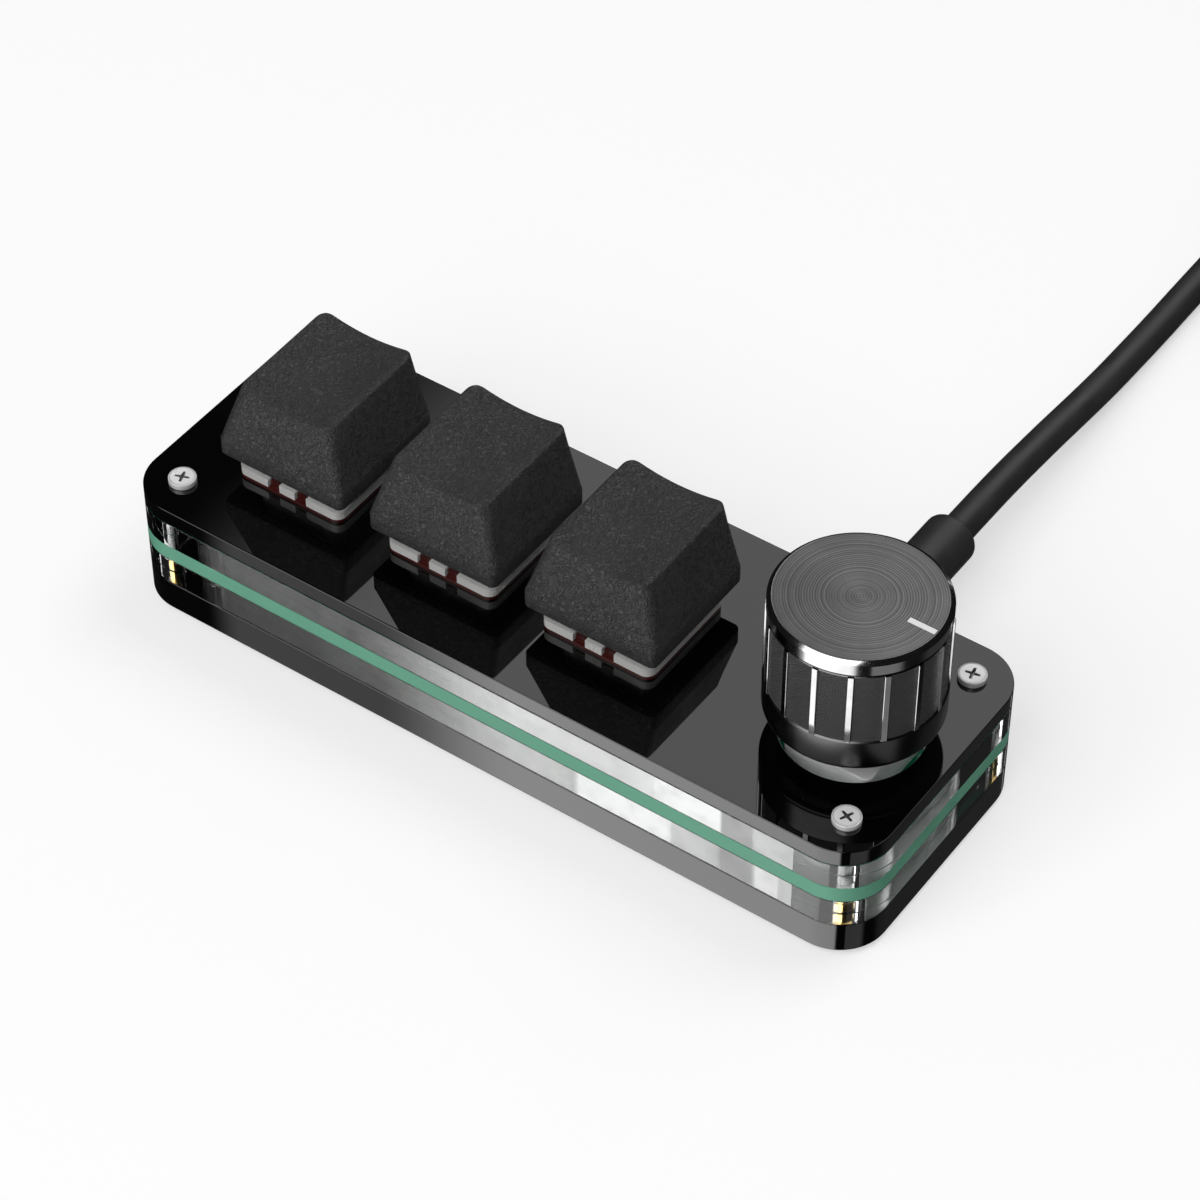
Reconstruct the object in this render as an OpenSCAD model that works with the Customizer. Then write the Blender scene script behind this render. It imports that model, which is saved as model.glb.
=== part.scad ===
// Desk macro keypad: a case of stacked plates and clear frames, three keys, a push dial and a plug-in cable.
// X runs along the row of keys to the dial, Y to the back and Z up.
// The origin is on the table, under the middle of the case.

/* [Case] */
// Length of the case
case_l = 104.3; // [95:0.1:125]
// Width of the case
case_w = 36.6; // [36:0.1:60]
// Radius of the case's corners
case_r = 6.2; // [4:0.1:8]
// Thickness of the bottom plate
bottom_t = 4.4; // [3:0.1:8]
// Height of the lower clear sheet
lower_t = 3.95; // [3.9:0.05:8]
// Thickness of the circuit board
board_t = 2.15; // [1.2:0.05:3]
// Height of the upper clear sheet
upper_t = 3.85; // [3.6:0.05:4.6]
// Thickness of the top plate
top_t = 2.25; // [1.8:0.05:2.6]
// Gap between the switches and the opening for them in the clear sheets
opening_gap = 0.4; // [0.2:0.05:1]
// Radius of that opening's corners
opening_r = 1.5; // [1:0.1:3]
// Height of the rubber feet
foot_h = 0.8; // [0.5:0.1:3]
// Radius of the rubber feet
foot_r = 4; // [3:0.1:5]
// Distance of a foot's centre from the end of the case
foot_end = 12.2; // [11.5:0.1:20]
// Distance of a foot's centre from the side of the case
foot_side = 6.2; // [5.5:0.1:9]

/* [Screws] */
// Distance of a screw from the end of the case
screw_end = 5.2; // [4.6:0.1:6]
// Distance of a screw from the side of the case
screw_side = 5.1; // [4.6:0.1:6]
// Radius of the screws' shanks
screw_r = 1; // [0.8:0.05:1.2]
// Radius of the top screws' heads
head_r = 1.72; // [1.6:0.02:2.4]
// Height of the top screws' heads
head_h = 0.75; // [0.6:0.05:1.4]
// Radius of the bottom screws' sunk heads
sink_r = 1.9; // [1.7:0.05:2.2]
// Height of the bottom screws' sunk heads
sink_h = 1.1; // [0.8:0.05:1.6]
// Depth that each screw reaches into its standoff
screw_grip = 1.7; // [1:0.1:1.9]
// Radius of the brass standoffs
standoff_r = 1.6; // [1.5:0.05:2]

/* [Keys] */
// Distance from one key to the next
key_pitch = 22.2; // [21:0.1:22.6]
// Distance of the first key's middle from the left-hand end of the case
key_end = 17.55; // [16.3:0.05:19]
// Place of the row of keys and the dial across the case
row_y = -0.85; // [-2:0.05:1]
// Width of a keycap at its foot
cap_w = 18.25; // [18:0.05:19.5]
// Depth of a keycap at its foot
cap_d = 18.05; // [18:0.05:19.5]
// Width of a keycap's top
cap_top_w = 13.55; // [12:0.05:14.5]
// Slope of a keycap's front, from foot to top
cap_front_lean = 1.6; // [0:0.05:2.5]
// Slope of a keycap's back, outwards from foot to top
cap_back_lean = 0.05; // [-1:0.05:0.1]
// Height of the upright skirt at a keycap's foot
cap_skirt_h = 2.2; // [1:0.05:3]
// Height of a keycap at its front
cap_front_h = 10.45; // [10:0.05:12]
// Height of a keycap at its back
cap_back_h = 10.75; // [10:0.05:12]
// Depth of the finger hollow in a keycap's top
cap_dish = 0.8; // [0:0.05:1.2]
// Radius of a keycap's corners at its foot
cap_foot_r = 0.9; // [0.6:0.05:2]
// Radius of a keycap's corners at its top
cap_top_r = 1.5; // [1:0.05:3]
// Thickness of a keycap's walls
cap_wall = 1; // [0.7:0.05:1.05]
// Thickness of a keycap's top under the hollow
cap_roof = 1.4; // [0.8:0.05:1.8]
// Gap between a keycap's foot and the top plate
cap_gap = 3.95; // [3.9:0.05:5]
// Travel of a key
key_travel = 3.6; // [2:0.1:3.7]
// Radius of the post inside a keycap
post_r = 2.75; // [2.5:0.05:2.85]

/* [Switches] */
// Width of a switch through the top plate
switch_w = 13.9; // [13.6:0.05:14.2]
// Width of a switch's collar on the top plate
collar_w = 15.4; // [15:0.05:15.5]
// Thickness of the lower housing's flange
flange_t = 0.45; // [0.3:0.05:0.7]
// Height of the upper housing's collar
collar_h = 1.15; // [0.8:0.05:1.5]
// Height of a switch over the top plate
switch_h = 6.6; // [6.2:0.05:7]
// Width of the upper housing's top
switch_top_w = 11.3; // [11:0.05:12]
// Width of the slider
slider_w = 6.8; // [6.4:0.05:7]
// Depth of the slider
slider_d = 5.6; // [5.4:0.05:5.8]
// Height of the cross on the slider
cross_h = 3.6; // [3:0.1:3.8]
// Length of the cross's arms
cross_l = 4; // [3.8:0.05:4.2]
// Thickness of the cross's arms
cross_t = 1.15; // [1:0.05:1.3]
// Radius of a switch's middle peg
peg_r = 1.95; // [1.8:0.05:2.1]
// Distance of a switch's side pegs from its middle
side_peg_x = 5.08; // [4.8:0.02:5.3]
// Radius of a switch's side pegs
side_peg_r = 0.8; // [0.6:0.05:0.9]
// Radius of the return spring, to the middle of its wire
spring_r = 2.1; // [2.05:0.05:2.3]
// Thickness of the return spring's wire
spring_wire = 0.4; // [0.3:0.05:0.45]

/* [Encoder] */
// Distance of the dial's middle from the right-hand end of the case
dial_end = 12.3; // [11.95:0.05:12.45]
// Radius of the round hole in the top plate
dial_hole_r = 8.6; // [8.2:0.05:9]
// Width of the encoder's can
can_w = 11.6; // [11.2:0.05:12]
// Height of the encoder's can over the circuit board
can_h = 5.5; // [5.5:0.05:6]
// Thickness of the encoder's sheet metal
can_t = 0.35; // [0.2:0.05:0.5]
// Radius of the encoder's neck
neck_r = 3.5; // [3.4:0.05:4]
// Height of the neck over the can
neck_h = 5; // [4:0.1:5.2]
// Radius of the encoder's shaft
shaft_r = 3; // [2.8:0.05:3]
// Height of the shaft over the circuit board
shaft_h = 20; // [19:0.1:21]
// Distance of the shaft's flat from its middle
flat_x = 1.5; // [1:0.05:2]
// Length of the shaft's flat
flat_l = 8; // [6:0.1:9]
// Travel of the dial when it is pressed
dial_travel = 0.5; // [0.3:0.05:0.5]

/* [Dial] */
// Radius of the dial over its ribs
dial_r = 10.45; // [10.2:0.05:10.6]
// Radius of the bright ring at the dial's top
ring_r = 10.31; // [10:0.01:10.4]
// Height of the dial
dial_h = 16.7; // [16:0.05:18]
// Gap between the dial and the top plate
dial_gap = 3.9; // [3:0.05:4.4]
// Height of the smooth band at the dial's foot
foot_band_h = 4.4; // [3:0.1:6]
// Radius of the dial's rounded foot
dial_foot_r = 0.85; // [0.3:0.05:1.2]
// Height of the bright ring
ring_h = 1.45; // [1:0.05:2]
// Width and height of the groove under the bright ring
groove = 0.3; // [0.2:0.05:0.6]
// Width of the bevel round the dial's top
bevel = 0.56; // [0.3:0.02:0.8]
// Height of the bevel round the dial's top
bevel_h = 0.4; // [0.2:0.05:0.6]
// Width of one rib
rib_w = 0.7; // [0.4:0.05:1.2]
// Distance that the ribs stand out
rib_out = 0.2; // [0.1:0.05:0.4]
// Thickness of the dial's wall
dial_wall = 2; // [1.5:0.05:2.2]
// Thickness of the top disc
disc_t = 0.6; // [0.4:0.05:1]
// Radius of the dial's core
core_r = 5; // [4.6:0.1:6]
// Distance from the dial's middle to the near end of the pointer
pointer_start = 6.05; // [5:0.05:7]
// Length of the pointer line
pointer_l = 3.5; // [2:0.05:3.6]
// Width of the pointer line
pointer_w = 0.8; // [0.5:0.05:1.2]
// Depth of the pointer line
pointer_t = 0.3; // [0.2:0.05:0.35]

/* [Socket and cable] */
// Distance of the socket's middle from the dial's middle, along the case
socket_side = 11.65; // [10:0.05:13.5]
// Width of the socket
socket_w = 8.94; // [8.8:0.02:9.2]
// Height of the socket
socket_h = 3.26; // [3.2:0.02:3.4]
// Length of the socket
socket_l = 7.3; // [7.2:0.1:8.5]
// Thickness of the socket's sheet metal
socket_t = 0.3; // [0.2:0.05:0.35]
// Radius of the cable
cord_r = 2.08; // [1.6:0.01:2.2]
// Radius of the boot on the cable
boot_r = 3.45; // [3:0.05:3.6]
// Radius of the boot's rounded rim
boot_edge_r = 1; // [0.4:0.1:1.1]
// Distance that the boot reaches behind the case
boot_l = 22.5; // [20:0.5:40]
// Width of the plug's grip
grip_w = 11.6; // [11:0.1:12.5]
// Height of the plug's grip
grip_h = 6.4; // [6:0.1:7]
// Length of the plug's grip
grip_l = 8.2; // [7:0.1:9]
// Width of the far plug's grip
far_grip_w = 15.6; // [14:0.1:17]
// Height of the far plug's grip
far_grip_h = 7.8; // [7:0.1:9]
// Length of the far plug's grip
far_grip_l = 22; // [18:0.5:30]
// Width of the far plug's metal shell
far_shell_w = 12; // [11.9:0.05:12.1]
// Height of the far plug's metal shell
far_shell_h = 4.5; // [4.4:0.05:4.6]
// Length of the far plug's metal shell
far_shell_l = 12; // [11.7:0.05:12.2]
// Width of the tie round the coil
tie_w = 5; // [4:0.5:7]
// Thickness of the tie
tie_t = 0.5; // [0.3:0.05:0.5]

/* [Hidden] */
$fn = 96;

// Overrun that lets a cut pass its face
over = 0.5;
// Clearance between pieces that are held tight
fit = 0.02;
// Clearance between a pin or peg and its hole
loose = 0.1;
// Clearance between pieces that slide past each other
slide = 0.2;

// Levels of the stack, from the table up
z_bottom = foot_h;
z_lower = z_bottom + bottom_t;
z_board = z_lower + lower_t;
z_upper = z_board + board_t;
z_top = z_upper + upper_t;
z_face = z_top + top_t;

// Places along the case
first_key_x = key_end - case_l / 2;
dial_x = case_l / 2 - dial_end;
socket_x = dial_x - socket_side;

// Screws
screw_x = case_l / 2 - screw_end;
screw_y = case_w / 2 - screw_side;
screw_hole_r = screw_r + loose;
recess_l = head_r * 1.1;
recess_w = head_r * 0.28;
recess_h = head_h * 0.5;
head_edge = head_h * 0.2;

// Levels of a switch
z_floor = z_upper + 0.8 * flange_t + 0.44;
z_collar = z_face + flange_t;
z_roof = z_face + switch_h;
housing_wall = 0.9;
roof_t = 1;
slider_foot_h = 1.6;
z_slider = z_roof - roof_t - fit - slider_foot_h;
spring_seat = 0.4;
stop_gap = 0.5;
guide_r = 1.6;
pole_r = 1;
z_guide = z_slider - key_travel - stop_gap;
z_pole = z_floor + key_travel + stop_gap;
spring_turns = 9;
spring_rings = 8;
spring_sides = 6;
leg_l = 1.1;
pin_w = 1;
pin_t = 0.5;
leaf_t = 0.25;
leaf_w = 3;
leaf_h = 5;
fixed_pin = [2.54, 5.08];
moving_pin = [-3.81, 2.54];
leaf_y = 4.7;
board_hole_gap = 0.15;

// Levels and sizes of a keycap
z_cap = z_face + cap_gap;
cap_low_h = min(cap_front_h, cap_back_h);
cap_ceiling_h = cap_low_h - cap_dish - cap_roof;
cap_edge_shares = [[0.9, 0], [0.3, 0.28], [0, 1]];
cap_edge = 0.4;
cap_arc_steps = 3;
cap_top_ring_shares = [0.7, 0.4, 0.15];
cap_side_steps = 5;

// Levels of the encoder and the dial
z_can = z_upper + can_h;
can_in = can_w - 2 * can_t - 2 * fit;
base_floor_h = 1.2;
cavity_r = 4.7;
dome_r = 2.1;
dome_h = 0.35;
dome_t = 0.12;
plunger_r = 2.3;
z_dome = z_upper + base_floor_h;
z_plunger = z_dome + dome_h + dial_travel + 2 * fit;
plunger_h = 0.75;
z_shaft = z_plunger + plunger_h + fit;
z_ring = z_shaft - 2 * fit;
z_rotor = z_ring + loose;
rotor_h = 1;
rotor_r = 4.4;
key_r = 2.4;
key_flat = 1.9;
neck_flange_r = 4.6;
neck_flange_h = 0.7;
z_neck = z_can - can_t - fit - neck_flange_h;
z_shaft_shoulder = z_rotor + rotor_h + dial_travel + loose;
z_shaft_top = z_upper + shaft_h;
z_dial = z_face + dial_gap;
z_dial_top = z_dial + dial_h;
z_core = z_can + neck_h + dial_travel + slide;
core_roof = 2.6;
z_core_top = z_dial_top - disc_t - core_roof;
core_flange_h = 1.6;
disc_r = ring_r - bevel - fit;
disc_seat = disc_t + fit;
z_ring_low = z_dial_top - bevel_h - ring_h;
z_ribs = z_dial + foot_band_h;
ribs_h = z_ring_low - groove - z_ribs;
dial_in_r = dial_r - dial_wall;
rib_count = 16;
rib_turn = 4.4;
can_tab_w = 2;
can_lift = 0.6;

// Socket and plug
socket_z = z_board - socket_h / 2;
back_y = case_w / 2;
plug_gap = 0.3;
plug_in = 6.2;
tongue_w = 6.69;
tongue_t = 0.7;
tongue_l = 4.5;
plug_shell_w = 8.25;
plug_shell_h = 2.4;
plug_shell_t = 0.3;
boot_end_y = back_y + boot_l;
far_shell_t = 0.3;
far_tongue_h = 1.9;

// The cable's route from the boot to the coil, as distances to the side and along and shares of its drop
cord_bends = [[0, 0, 0], [0, 4.7, 0.004], [-0.05, 9.7, 0.04], [-0.15, 14.7, 0.123], [-0.25, 19.7, 0.234],
  [-0.4, 24.7, 0.372], [-0.55, 29.7, 0.528], [-0.7, 34.7, 0.676], [-0.85, 39.7, 0.805], [-1, 44.7, 0.897],
  [-1.1, 49.7, 0.961], [-1.15, 54.7, 0.989], [-1.2, 59.7, 1], [-1.2, 65.7, 1], [-1.2, 71.7, 1],
  [-1.2, 77.7, 1]];
cord_rest_z = cord_r + fit / 2;
cord_drop = socket_z - cord_rest_z;
cord_route = [for (b = cord_bends) [socket_x + b[0], boot_end_y + b[1], socket_z - b[2] * cord_drop]];

// The cable's coil: two layers that spiral in and out again, lifted where the tie passes under them
coil_turns = 3;
coil_pitch = 4.7;
coil_rise = 4.57;
coil_rings = 24;
coil_mid_r = 22.4;
coil_out_r = coil_mid_r + coil_turns * coil_pitch / 2;
coil_start = cord_route[len(cord_route) - 1];
coil_centre = [coil_start[0] + coil_out_r, coil_start[1] + 2 * cord_r, coil_start[2]];
cord_sides = 8;
coil_sides = 6;
tie_turn_share = 0.75;
tie_lift = tie_t + 5 * fit;
tie_rise_power = 8;

function unit(v) = v / norm(v);
function heading(path, i) = unit(path[min(i + 1, len(path) - 1)] - path[max(i - 1, 0)]);

// A ring of points round a path, square to it and counted against the clock about its heading
function path_ring(path, i, r, sides) =
  let (t = heading(path, i), s = unit(cross(t, [0, 0, 1])), u = cross(t, s))
  [for (k = [0 : sides - 1]) path[i] + r * (cos(360 * k / sides) * s + sin(360 * k / sides) * u)];

function middle(points) =
  [for (axis = [0 : 2]) [for (p = points) p[axis]] * [for (p = points) 1] / len(points)];

// Turns of the coil: the radius falls, then grows, and the layer climbs in the half turn between
function coil_r(turn) =
  coil_out_r - coil_pitch * (turn < coil_turns + 0.25 ? turn : 2 * coil_turns + 0.5 - turn);
function coil_z(turn) = coil_rise * max(0, min(1, (turn - coil_turns) * 2))
  + tie_lift * pow(max(0, cos(360 * (turn - tie_turn_share))), tie_rise_power);
function coil_point(turn) = coil_centre + [-coil_r(turn) * cos(360 * turn), coil_r(turn) * sin(360 * turn),
  coil_z(turn)];
coil_steps = (2 * coil_turns + 0.5) * coil_rings;
coil_end = coil_point(coil_steps / coil_rings) - [0, 2 * cord_r, 0];
coil_path = concat([coil_start], [for (i = [0 : coil_steps]) coil_point(i / coil_rings)], [coil_end]);

// The cable's route from the coil to the far plug, which lies on the table
tail_step = 4;
tail_drop_shares = [0, 0.015, 0.15, 0.45, 0.78, 1, 1];
tail_route = [for (i = [0 : len(tail_drop_shares) - 1])
  coil_end - [0, i * tail_step, tail_drop_shares[i] * (coil_end[2] - far_grip_h / 2)]];

function path_length(path) = len(path) < 2 ? 0 :
  [for (i = [1 : len(path) - 1]) norm(path[i] - path[i - 1])] * [for (i = [1 : len(path) - 1]) 1];
coil_least = min([for (i = [0 : len(coil_path) - 2], j = [i + coil_rings / 2 : len(coil_path) - 1])
  norm(coil_path[i] - coil_path[j])]) - 2 * cord_r;
echo(coil_gap = coil_least, cord_length = path_length(cord_route) + path_length(coil_path)
  + path_length(tail_route), coil_end = coil_end, cord_start = cord_route[0], cord_low = coil_start,
  tail_end = tail_route[len(tail_route) - 1], socket_x = socket_x, dial_x = dial_x,
  first_key_x = first_key_x);

// A skin through rings of points that each have the same count, closed to a point at both ends
module loft(rings) {
  n = len(rings[0]);
  last = len(rings) - 1;
  points = concat([for (ring = rings) each ring], [middle(rings[0]), middle(rings[last])]);
  sides = [for (i = [0 : last - 1], k = [0 : n - 1])
    let (a = i * n + k, b = i * n + (k + 1) % n) each [[a, a + n, b + n], [a, b + n, b]]];
  caps = [for (k = [0 : n - 1]) let (j = (k + 1) % n)
    each [[(last + 1) * n, k, j], [(last + 1) * n + 1, last * n + j, last * n + k]]];
  polyhedron(points, concat(sides, caps), convexity = 10);
}

module tube(path, r, sides) loft([for (i = [0 : len(path) - 1]) path_ring(path, i, r, sides)]);

module rounded(l, w, r) {
  square([l - 2 * r, w], center = true);
  square([l, w - 2 * r], center = true);
  for (x = [-1, 1], y = [-1, 1]) translate([x * (l / 2 - r), y * (w / 2 - r)]) circle(r);
}

module slab(z, h) translate([0, 0, z]) linear_extrude(h) children();

module block(x, y, z, low) translate([-x / 2, -y / 2, low]) cube([x, y, z]);

module at_screws() for (x = [-1, 1], y = [-1, 1]) translate([x * screw_x, y * screw_y]) children();

module at_key(i) translate([first_key_x + (i - 1) * key_pitch, row_y]) children();

module at_dial() translate([dial_x, row_y]) children();

module at_socket() translate([socket_x, 0, socket_z]) children();

// The plates' and the board's outline, with its four screw holes
module outline(hole_r) difference() {
  rounded(case_l, case_w, case_r);
  at_screws() circle(hole_r);
}

// A clear sheet: one opening takes the row of switches, a round one the encoder
module clear_sheet(hole_r) difference() {
  outline(hole_r);
  at_key(2) rounded(2 * key_pitch + switch_w + 2 * opening_gap, switch_w + 2 * opening_gap, opening_r);
  at_dial() circle(dial_hole_r);
}

// A flat tube with round ends along Y, from y and l long
module stadium(w, h, y, l) translate([0, y + l, 0]) rotate([90, 0, 0]) linear_extrude(l) union() {
  square([w - h, h], center = true);
  for (x = [-1, 1]) translate([x * (w - h) / 2, 0]) circle(h / 2);
}

module bottom_plate() color("#141414") difference() {
  slab(z_bottom, bottom_t) outline(screw_hole_r);
  at_screws() translate([0, 0, z_bottom]) cylinder(h = sink_h, r1 = sink_r + loose, r2 = screw_hole_r);
}

module lower_clear_frame() color("#dfeeea", 0.5) slab(z_lower, lower_t) difference() {
  clear_sheet(standoff_r + loose);
  translate([socket_x, back_y]) square([socket_w + 2 * slide, 2 * (socket_l + slide)], center = true);
}

module circuit_board() color("#4f8f74") slab(z_board, board_t) difference() {
  outline(screw_hole_r);
  for (i = [1 : 3]) at_key(i) {
    circle(peg_r + fit);
    for (x = [-1, 1]) translate([x * side_peg_x, 0]) circle(side_peg_r + fit);
    for (pin = [fixed_pin, moving_pin]) translate(pin) circle(pin_w / 2 + board_hole_gap);
  }
  at_dial() {
    encoder_pin_places() circle(pin_w / 2 + board_hole_gap);
    for (x = [-1, 1]) translate([x * (can_w - can_t) / 2, 0])
      square([can_t + 2 * board_hole_gap, can_tab_w + 2 * board_hole_gap], center = true);
  }
}

module upper_clear_frame() color("#dfeeea", 0.5) slab(z_upper, upper_t) clear_sheet(screw_hole_r);

module top_plate() color("#101010") slab(z_top, top_t) difference() {
  outline(screw_hole_r);
  for (i = [1 : 3]) at_key(i) square(switch_w + 2 * loose, center = true);
  at_dial() circle(dial_hole_r);
}

module top_screws() color("#d8d8da") at_screws() difference() {
  rotate_extrude() polygon([[0, z_board - screw_grip], [screw_r, z_board - screw_grip], [screw_r, z_face],
    [head_r, z_face], [head_r, z_face + head_h - head_edge], [head_r - head_edge, z_face + head_h],
    [0, z_face + head_h]]);
  for (turn = [0, 90]) rotate(turn) block(recess_l, recess_w, recess_h + over, z_face + head_h - recess_h);
}

module bottom_screws() color("#c8c8ca") at_screws() {
  translate([0, 0, z_bottom]) cylinder(h = sink_h, r1 = sink_r, r2 = screw_r);
  translate([0, 0, z_bottom]) cylinder(h = bottom_t + screw_grip, r = screw_r);
}

module brass_standoffs() color("#d9b24c") slab(z_lower, lower_t) at_screws() difference() {
  circle(standoff_r);
  circle(screw_r + fit);
}

module rubber_feet() color("#2a2a2a") linear_extrude(foot_h) for (x = [-1, 1], y = [-1, 1])
  translate([x * (case_l / 2 - foot_end), y * (case_w / 2 - foot_side)]) circle(foot_r);

module usb_socket_shell() color("#c9ccd0") at_socket() difference() {
  stadium(socket_w, socket_h, back_y - socket_l, socket_l);
  stadium(socket_w - 2 * socket_t, socket_h - 2 * socket_t, back_y - socket_l + socket_t, socket_l);
}

module usb_socket_tongue() color("#1b1b1b") at_socket() {
  stadium(socket_w - 2 * socket_t - 2 * fit, socket_h - 2 * socket_t - 2 * fit, back_y - socket_l + socket_t,
    socket_l - plug_in - socket_t - fit);
  translate([-tongue_w / 2, back_y - plug_in - over, -tongue_t / 2])
    cube([tongue_w, tongue_l + over, tongue_t]);
}

chip_l = 9.9;
chip_w = 3.9;
chip_h = 1.5;
chip_lift = 0.15;
chip_x = first_key_x + key_pitch / 2;
chip_y = row_y;
chip_legs = 8;
leg_pitch = 1.27;
chip_leg_w = 0.42;
chip_leg_l = 1;
chip_leg_t = 0.25;

module controller_chip() translate([chip_x, chip_y]) rotate(90) {
  color("#1c1c1e") block(chip_l, chip_w, chip_h, z_board - chip_lift - chip_h);
  color("#c8c8c8") for (i = [0 : chip_legs - 1], side = [-1, 1])
    translate([(i - (chip_legs - 1) / 2) * leg_pitch, side * (chip_w + chip_leg_l) / 2]) {
      block(chip_leg_w, chip_leg_l, chip_leg_t, z_board - chip_leg_t);
      translate([0, -side * (chip_leg_l - chip_leg_t) / 2])
        block(chip_leg_w, chip_leg_t, chip_h / 2, z_board - chip_h / 2);
    }
}

// Small parts soldered on between the switches, as places past the first key and the row of keys, lengths and
// widths: under the board and on it
part_h = 0.9;
under_parts = [[31.6, -4.2, 2, 1.25], [35, -4.2, 2, 1.25], [33.3, -1.8, 3.2, 1.6], [31.6, 1, 2, 1.25],
  [35, 1, 2, 1.25], [33.3, 3.6, 3.2, 1.6]];
over_parts = [[11.1, -3.6, 3.2, 1.6], [33.3, -3.6, 3.2, 1.6], [11.1, 0.6, 2, 1.25], [33.3, 0.6, 2, 1.25],
  [11.1, 4, 2, 1.25], [33.3, 4, 2, 1.25]];

side_part_l = 2;
side_part_w = 1.25;

module board_parts() color("#cbb98c") {
  for (p = under_parts)
    translate([first_key_x + p[0], row_y + p[1]]) block(p[2], p[3], part_h, z_board - part_h);
  for (p = over_parts) translate([first_key_x + p[0], row_y + p[1]]) block(p[2], p[3], part_h, z_upper);
  // One that stays with the dial, between the encoder and the clear sheet
  at_dial() translate([-(can_w / 2 + dial_hole_r) / 2, 0]) block(side_part_w, side_part_l, part_h, z_upper);
}

// The clips of the lower housing stand in gaps of the collar, as shares of the collar's width
gap_shares = [-0.14, 0.12];
gap_w_share = 0.11;
clip_set = 0.45;
clip_t = 0.5;

module at_collar_gaps() for (turn = [0, 180], share = gap_shares) rotate(turn)
  translate([share * collar_w, -collar_w / 2]) children();

module contact_slots(gap) {
  for (pin = [fixed_pin, moving_pin]) translate(pin)
    square([pin_w + 2 * gap, pin_t + 2 * gap], center = true);
}

module lower_housing() color("#5a1512") {
  difference() {
    union() {
      slab(z_upper, top_t + upper_t) square(switch_w, center = true);
      slab(z_face, flange_t) rounded(collar_w, collar_w, collar_w / 12);
      at_collar_gaps() translate([-gap_w_share * collar_w / 2 + slide / 2, clip_set, z_face])
        cube([gap_w_share * collar_w - slide, clip_t, flange_t + collar_h - slide]);
    }
    slab(z_floor, z_collar - z_floor + over) square(switch_w - 2 * housing_wall, center = true);
    slab(z_upper - over, z_floor - z_upper + 2 * over) contact_slots(fit);
  }
  slab(z_floor - over, z_guide - z_floor + over) difference() {
    circle(guide_r);
    circle(pole_r + slide);
  }
  translate([0, 0, z_board - leg_l]) cylinder(h = board_t + leg_l + flange_t, r = peg_r);
  for (x = [-1, 1]) translate([x * side_peg_x, 0, z_board]) cylinder(h = board_t + flange_t, r = side_peg_r);
}

// A hollow frustum between two heights over the top plate
module tapered(w1, w2, low, high, r) hull() {
  slab(low, fit) rounded(w1, w1, r, $fn = 32);
  slab(high - fit, fit) rounded(w2, w2, r, $fn = 32);
}

body_w = 13.4;
inner_r = 0.2;

module upper_housing() color("#e8e4dc", 0.85) difference() {
  union() {
    difference() {
      slab(z_collar, collar_h) rounded(collar_w, collar_w, collar_w / 12);
      at_collar_gaps() translate([-gap_w_share * collar_w / 2, -over, z_collar - over])
        cube([gap_w_share * collar_w, over + clip_set + housing_wall + loose, collar_h + 2 * over]);
    }
    tapered(body_w, switch_top_w, z_collar, z_roof, housing_wall);
  }
  tapered(body_w - 2 * housing_wall, switch_top_w - 2 * housing_wall, z_collar - over, z_roof - roof_t,
    inner_r);
  block(slider_w + 2 * slide, slider_d + 2 * slide, roof_t + 2 * over, z_roof - roof_t - over);
}

slider_foot_out = 0.9;

module stem() color("#b3261e") {
  difference() {
    union() {
      block(slider_w, slider_d, z_roof - z_slider, z_slider);
      block(slider_w + 2 * slider_foot_out, slider_d + 2 * slider_foot_out, slider_foot_h, z_slider);
    }
    translate([0, 0, z_slider - over]) cylinder(h = spring_seat + over, r = spring_r + spring_wire);
  }
  translate([0, 0, z_pole]) cylinder(h = z_slider + slider_foot_h - z_pole, r = pole_r);
  for (turn = [0, 90]) rotate(turn) block(cross_l, cross_t, cross_h + fit, z_roof - fit);
}

module spring() color("#c0c0c4") {
  low = z_floor + spring_wire / 2 + fit;
  high = z_slider + spring_seat - spring_wire / 2 - fit;
  steps = spring_turns * spring_rings;
  tube([for (i = [0 : steps]) [spring_r * cos(360 * i / spring_rings), spring_r * sin(360 * i / spring_rings),
    low + (high - low) * i / steps]], spring_wire / 2, spring_sides);
}

module contacts() color("#c9a24a") {
  for (pin = [fixed_pin, moving_pin]) translate(pin)
    block(pin_w, pin_t, z_floor - z_board + leg_l, z_board - leg_l);
  translate([fixed_pin[0] - leaf_w / 2, fixed_pin[1] - leaf_t / 2, z_floor]) cube([leaf_w, leaf_t, leaf_h]);
  translate([moving_pin[0] - pin_w / 2, moving_pin[1] - pin_t / 2, z_floor])
    cube([pin_w, leaf_y - moving_pin[1], leaf_t]);
  translate([moving_pin[0] - pin_w / 2, leaf_y - leaf_t - pin_t / 2, z_floor]) cube([leaf_w, leaf_t, leaf_h]);
}

// A keycap's outline at a height over its foot, drawn in by the given inset, with its corners' radius
function cap_share(h) = max(0, (h - cap_skirt_h) / (cap_low_h - cap_skirt_h));
function cap_half(h) = (cap_w + (cap_top_w - cap_w) * cap_share(h)) / 2;
function cap_front(h) = -cap_d / 2 + cap_front_lean * cap_share(h);
function cap_back(h) = cap_d / 2 + cap_back_lean * cap_share(h);
function cap_corner(h) = cap_foot_r + (cap_top_r - cap_foot_r) * cap_share(h);

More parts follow.
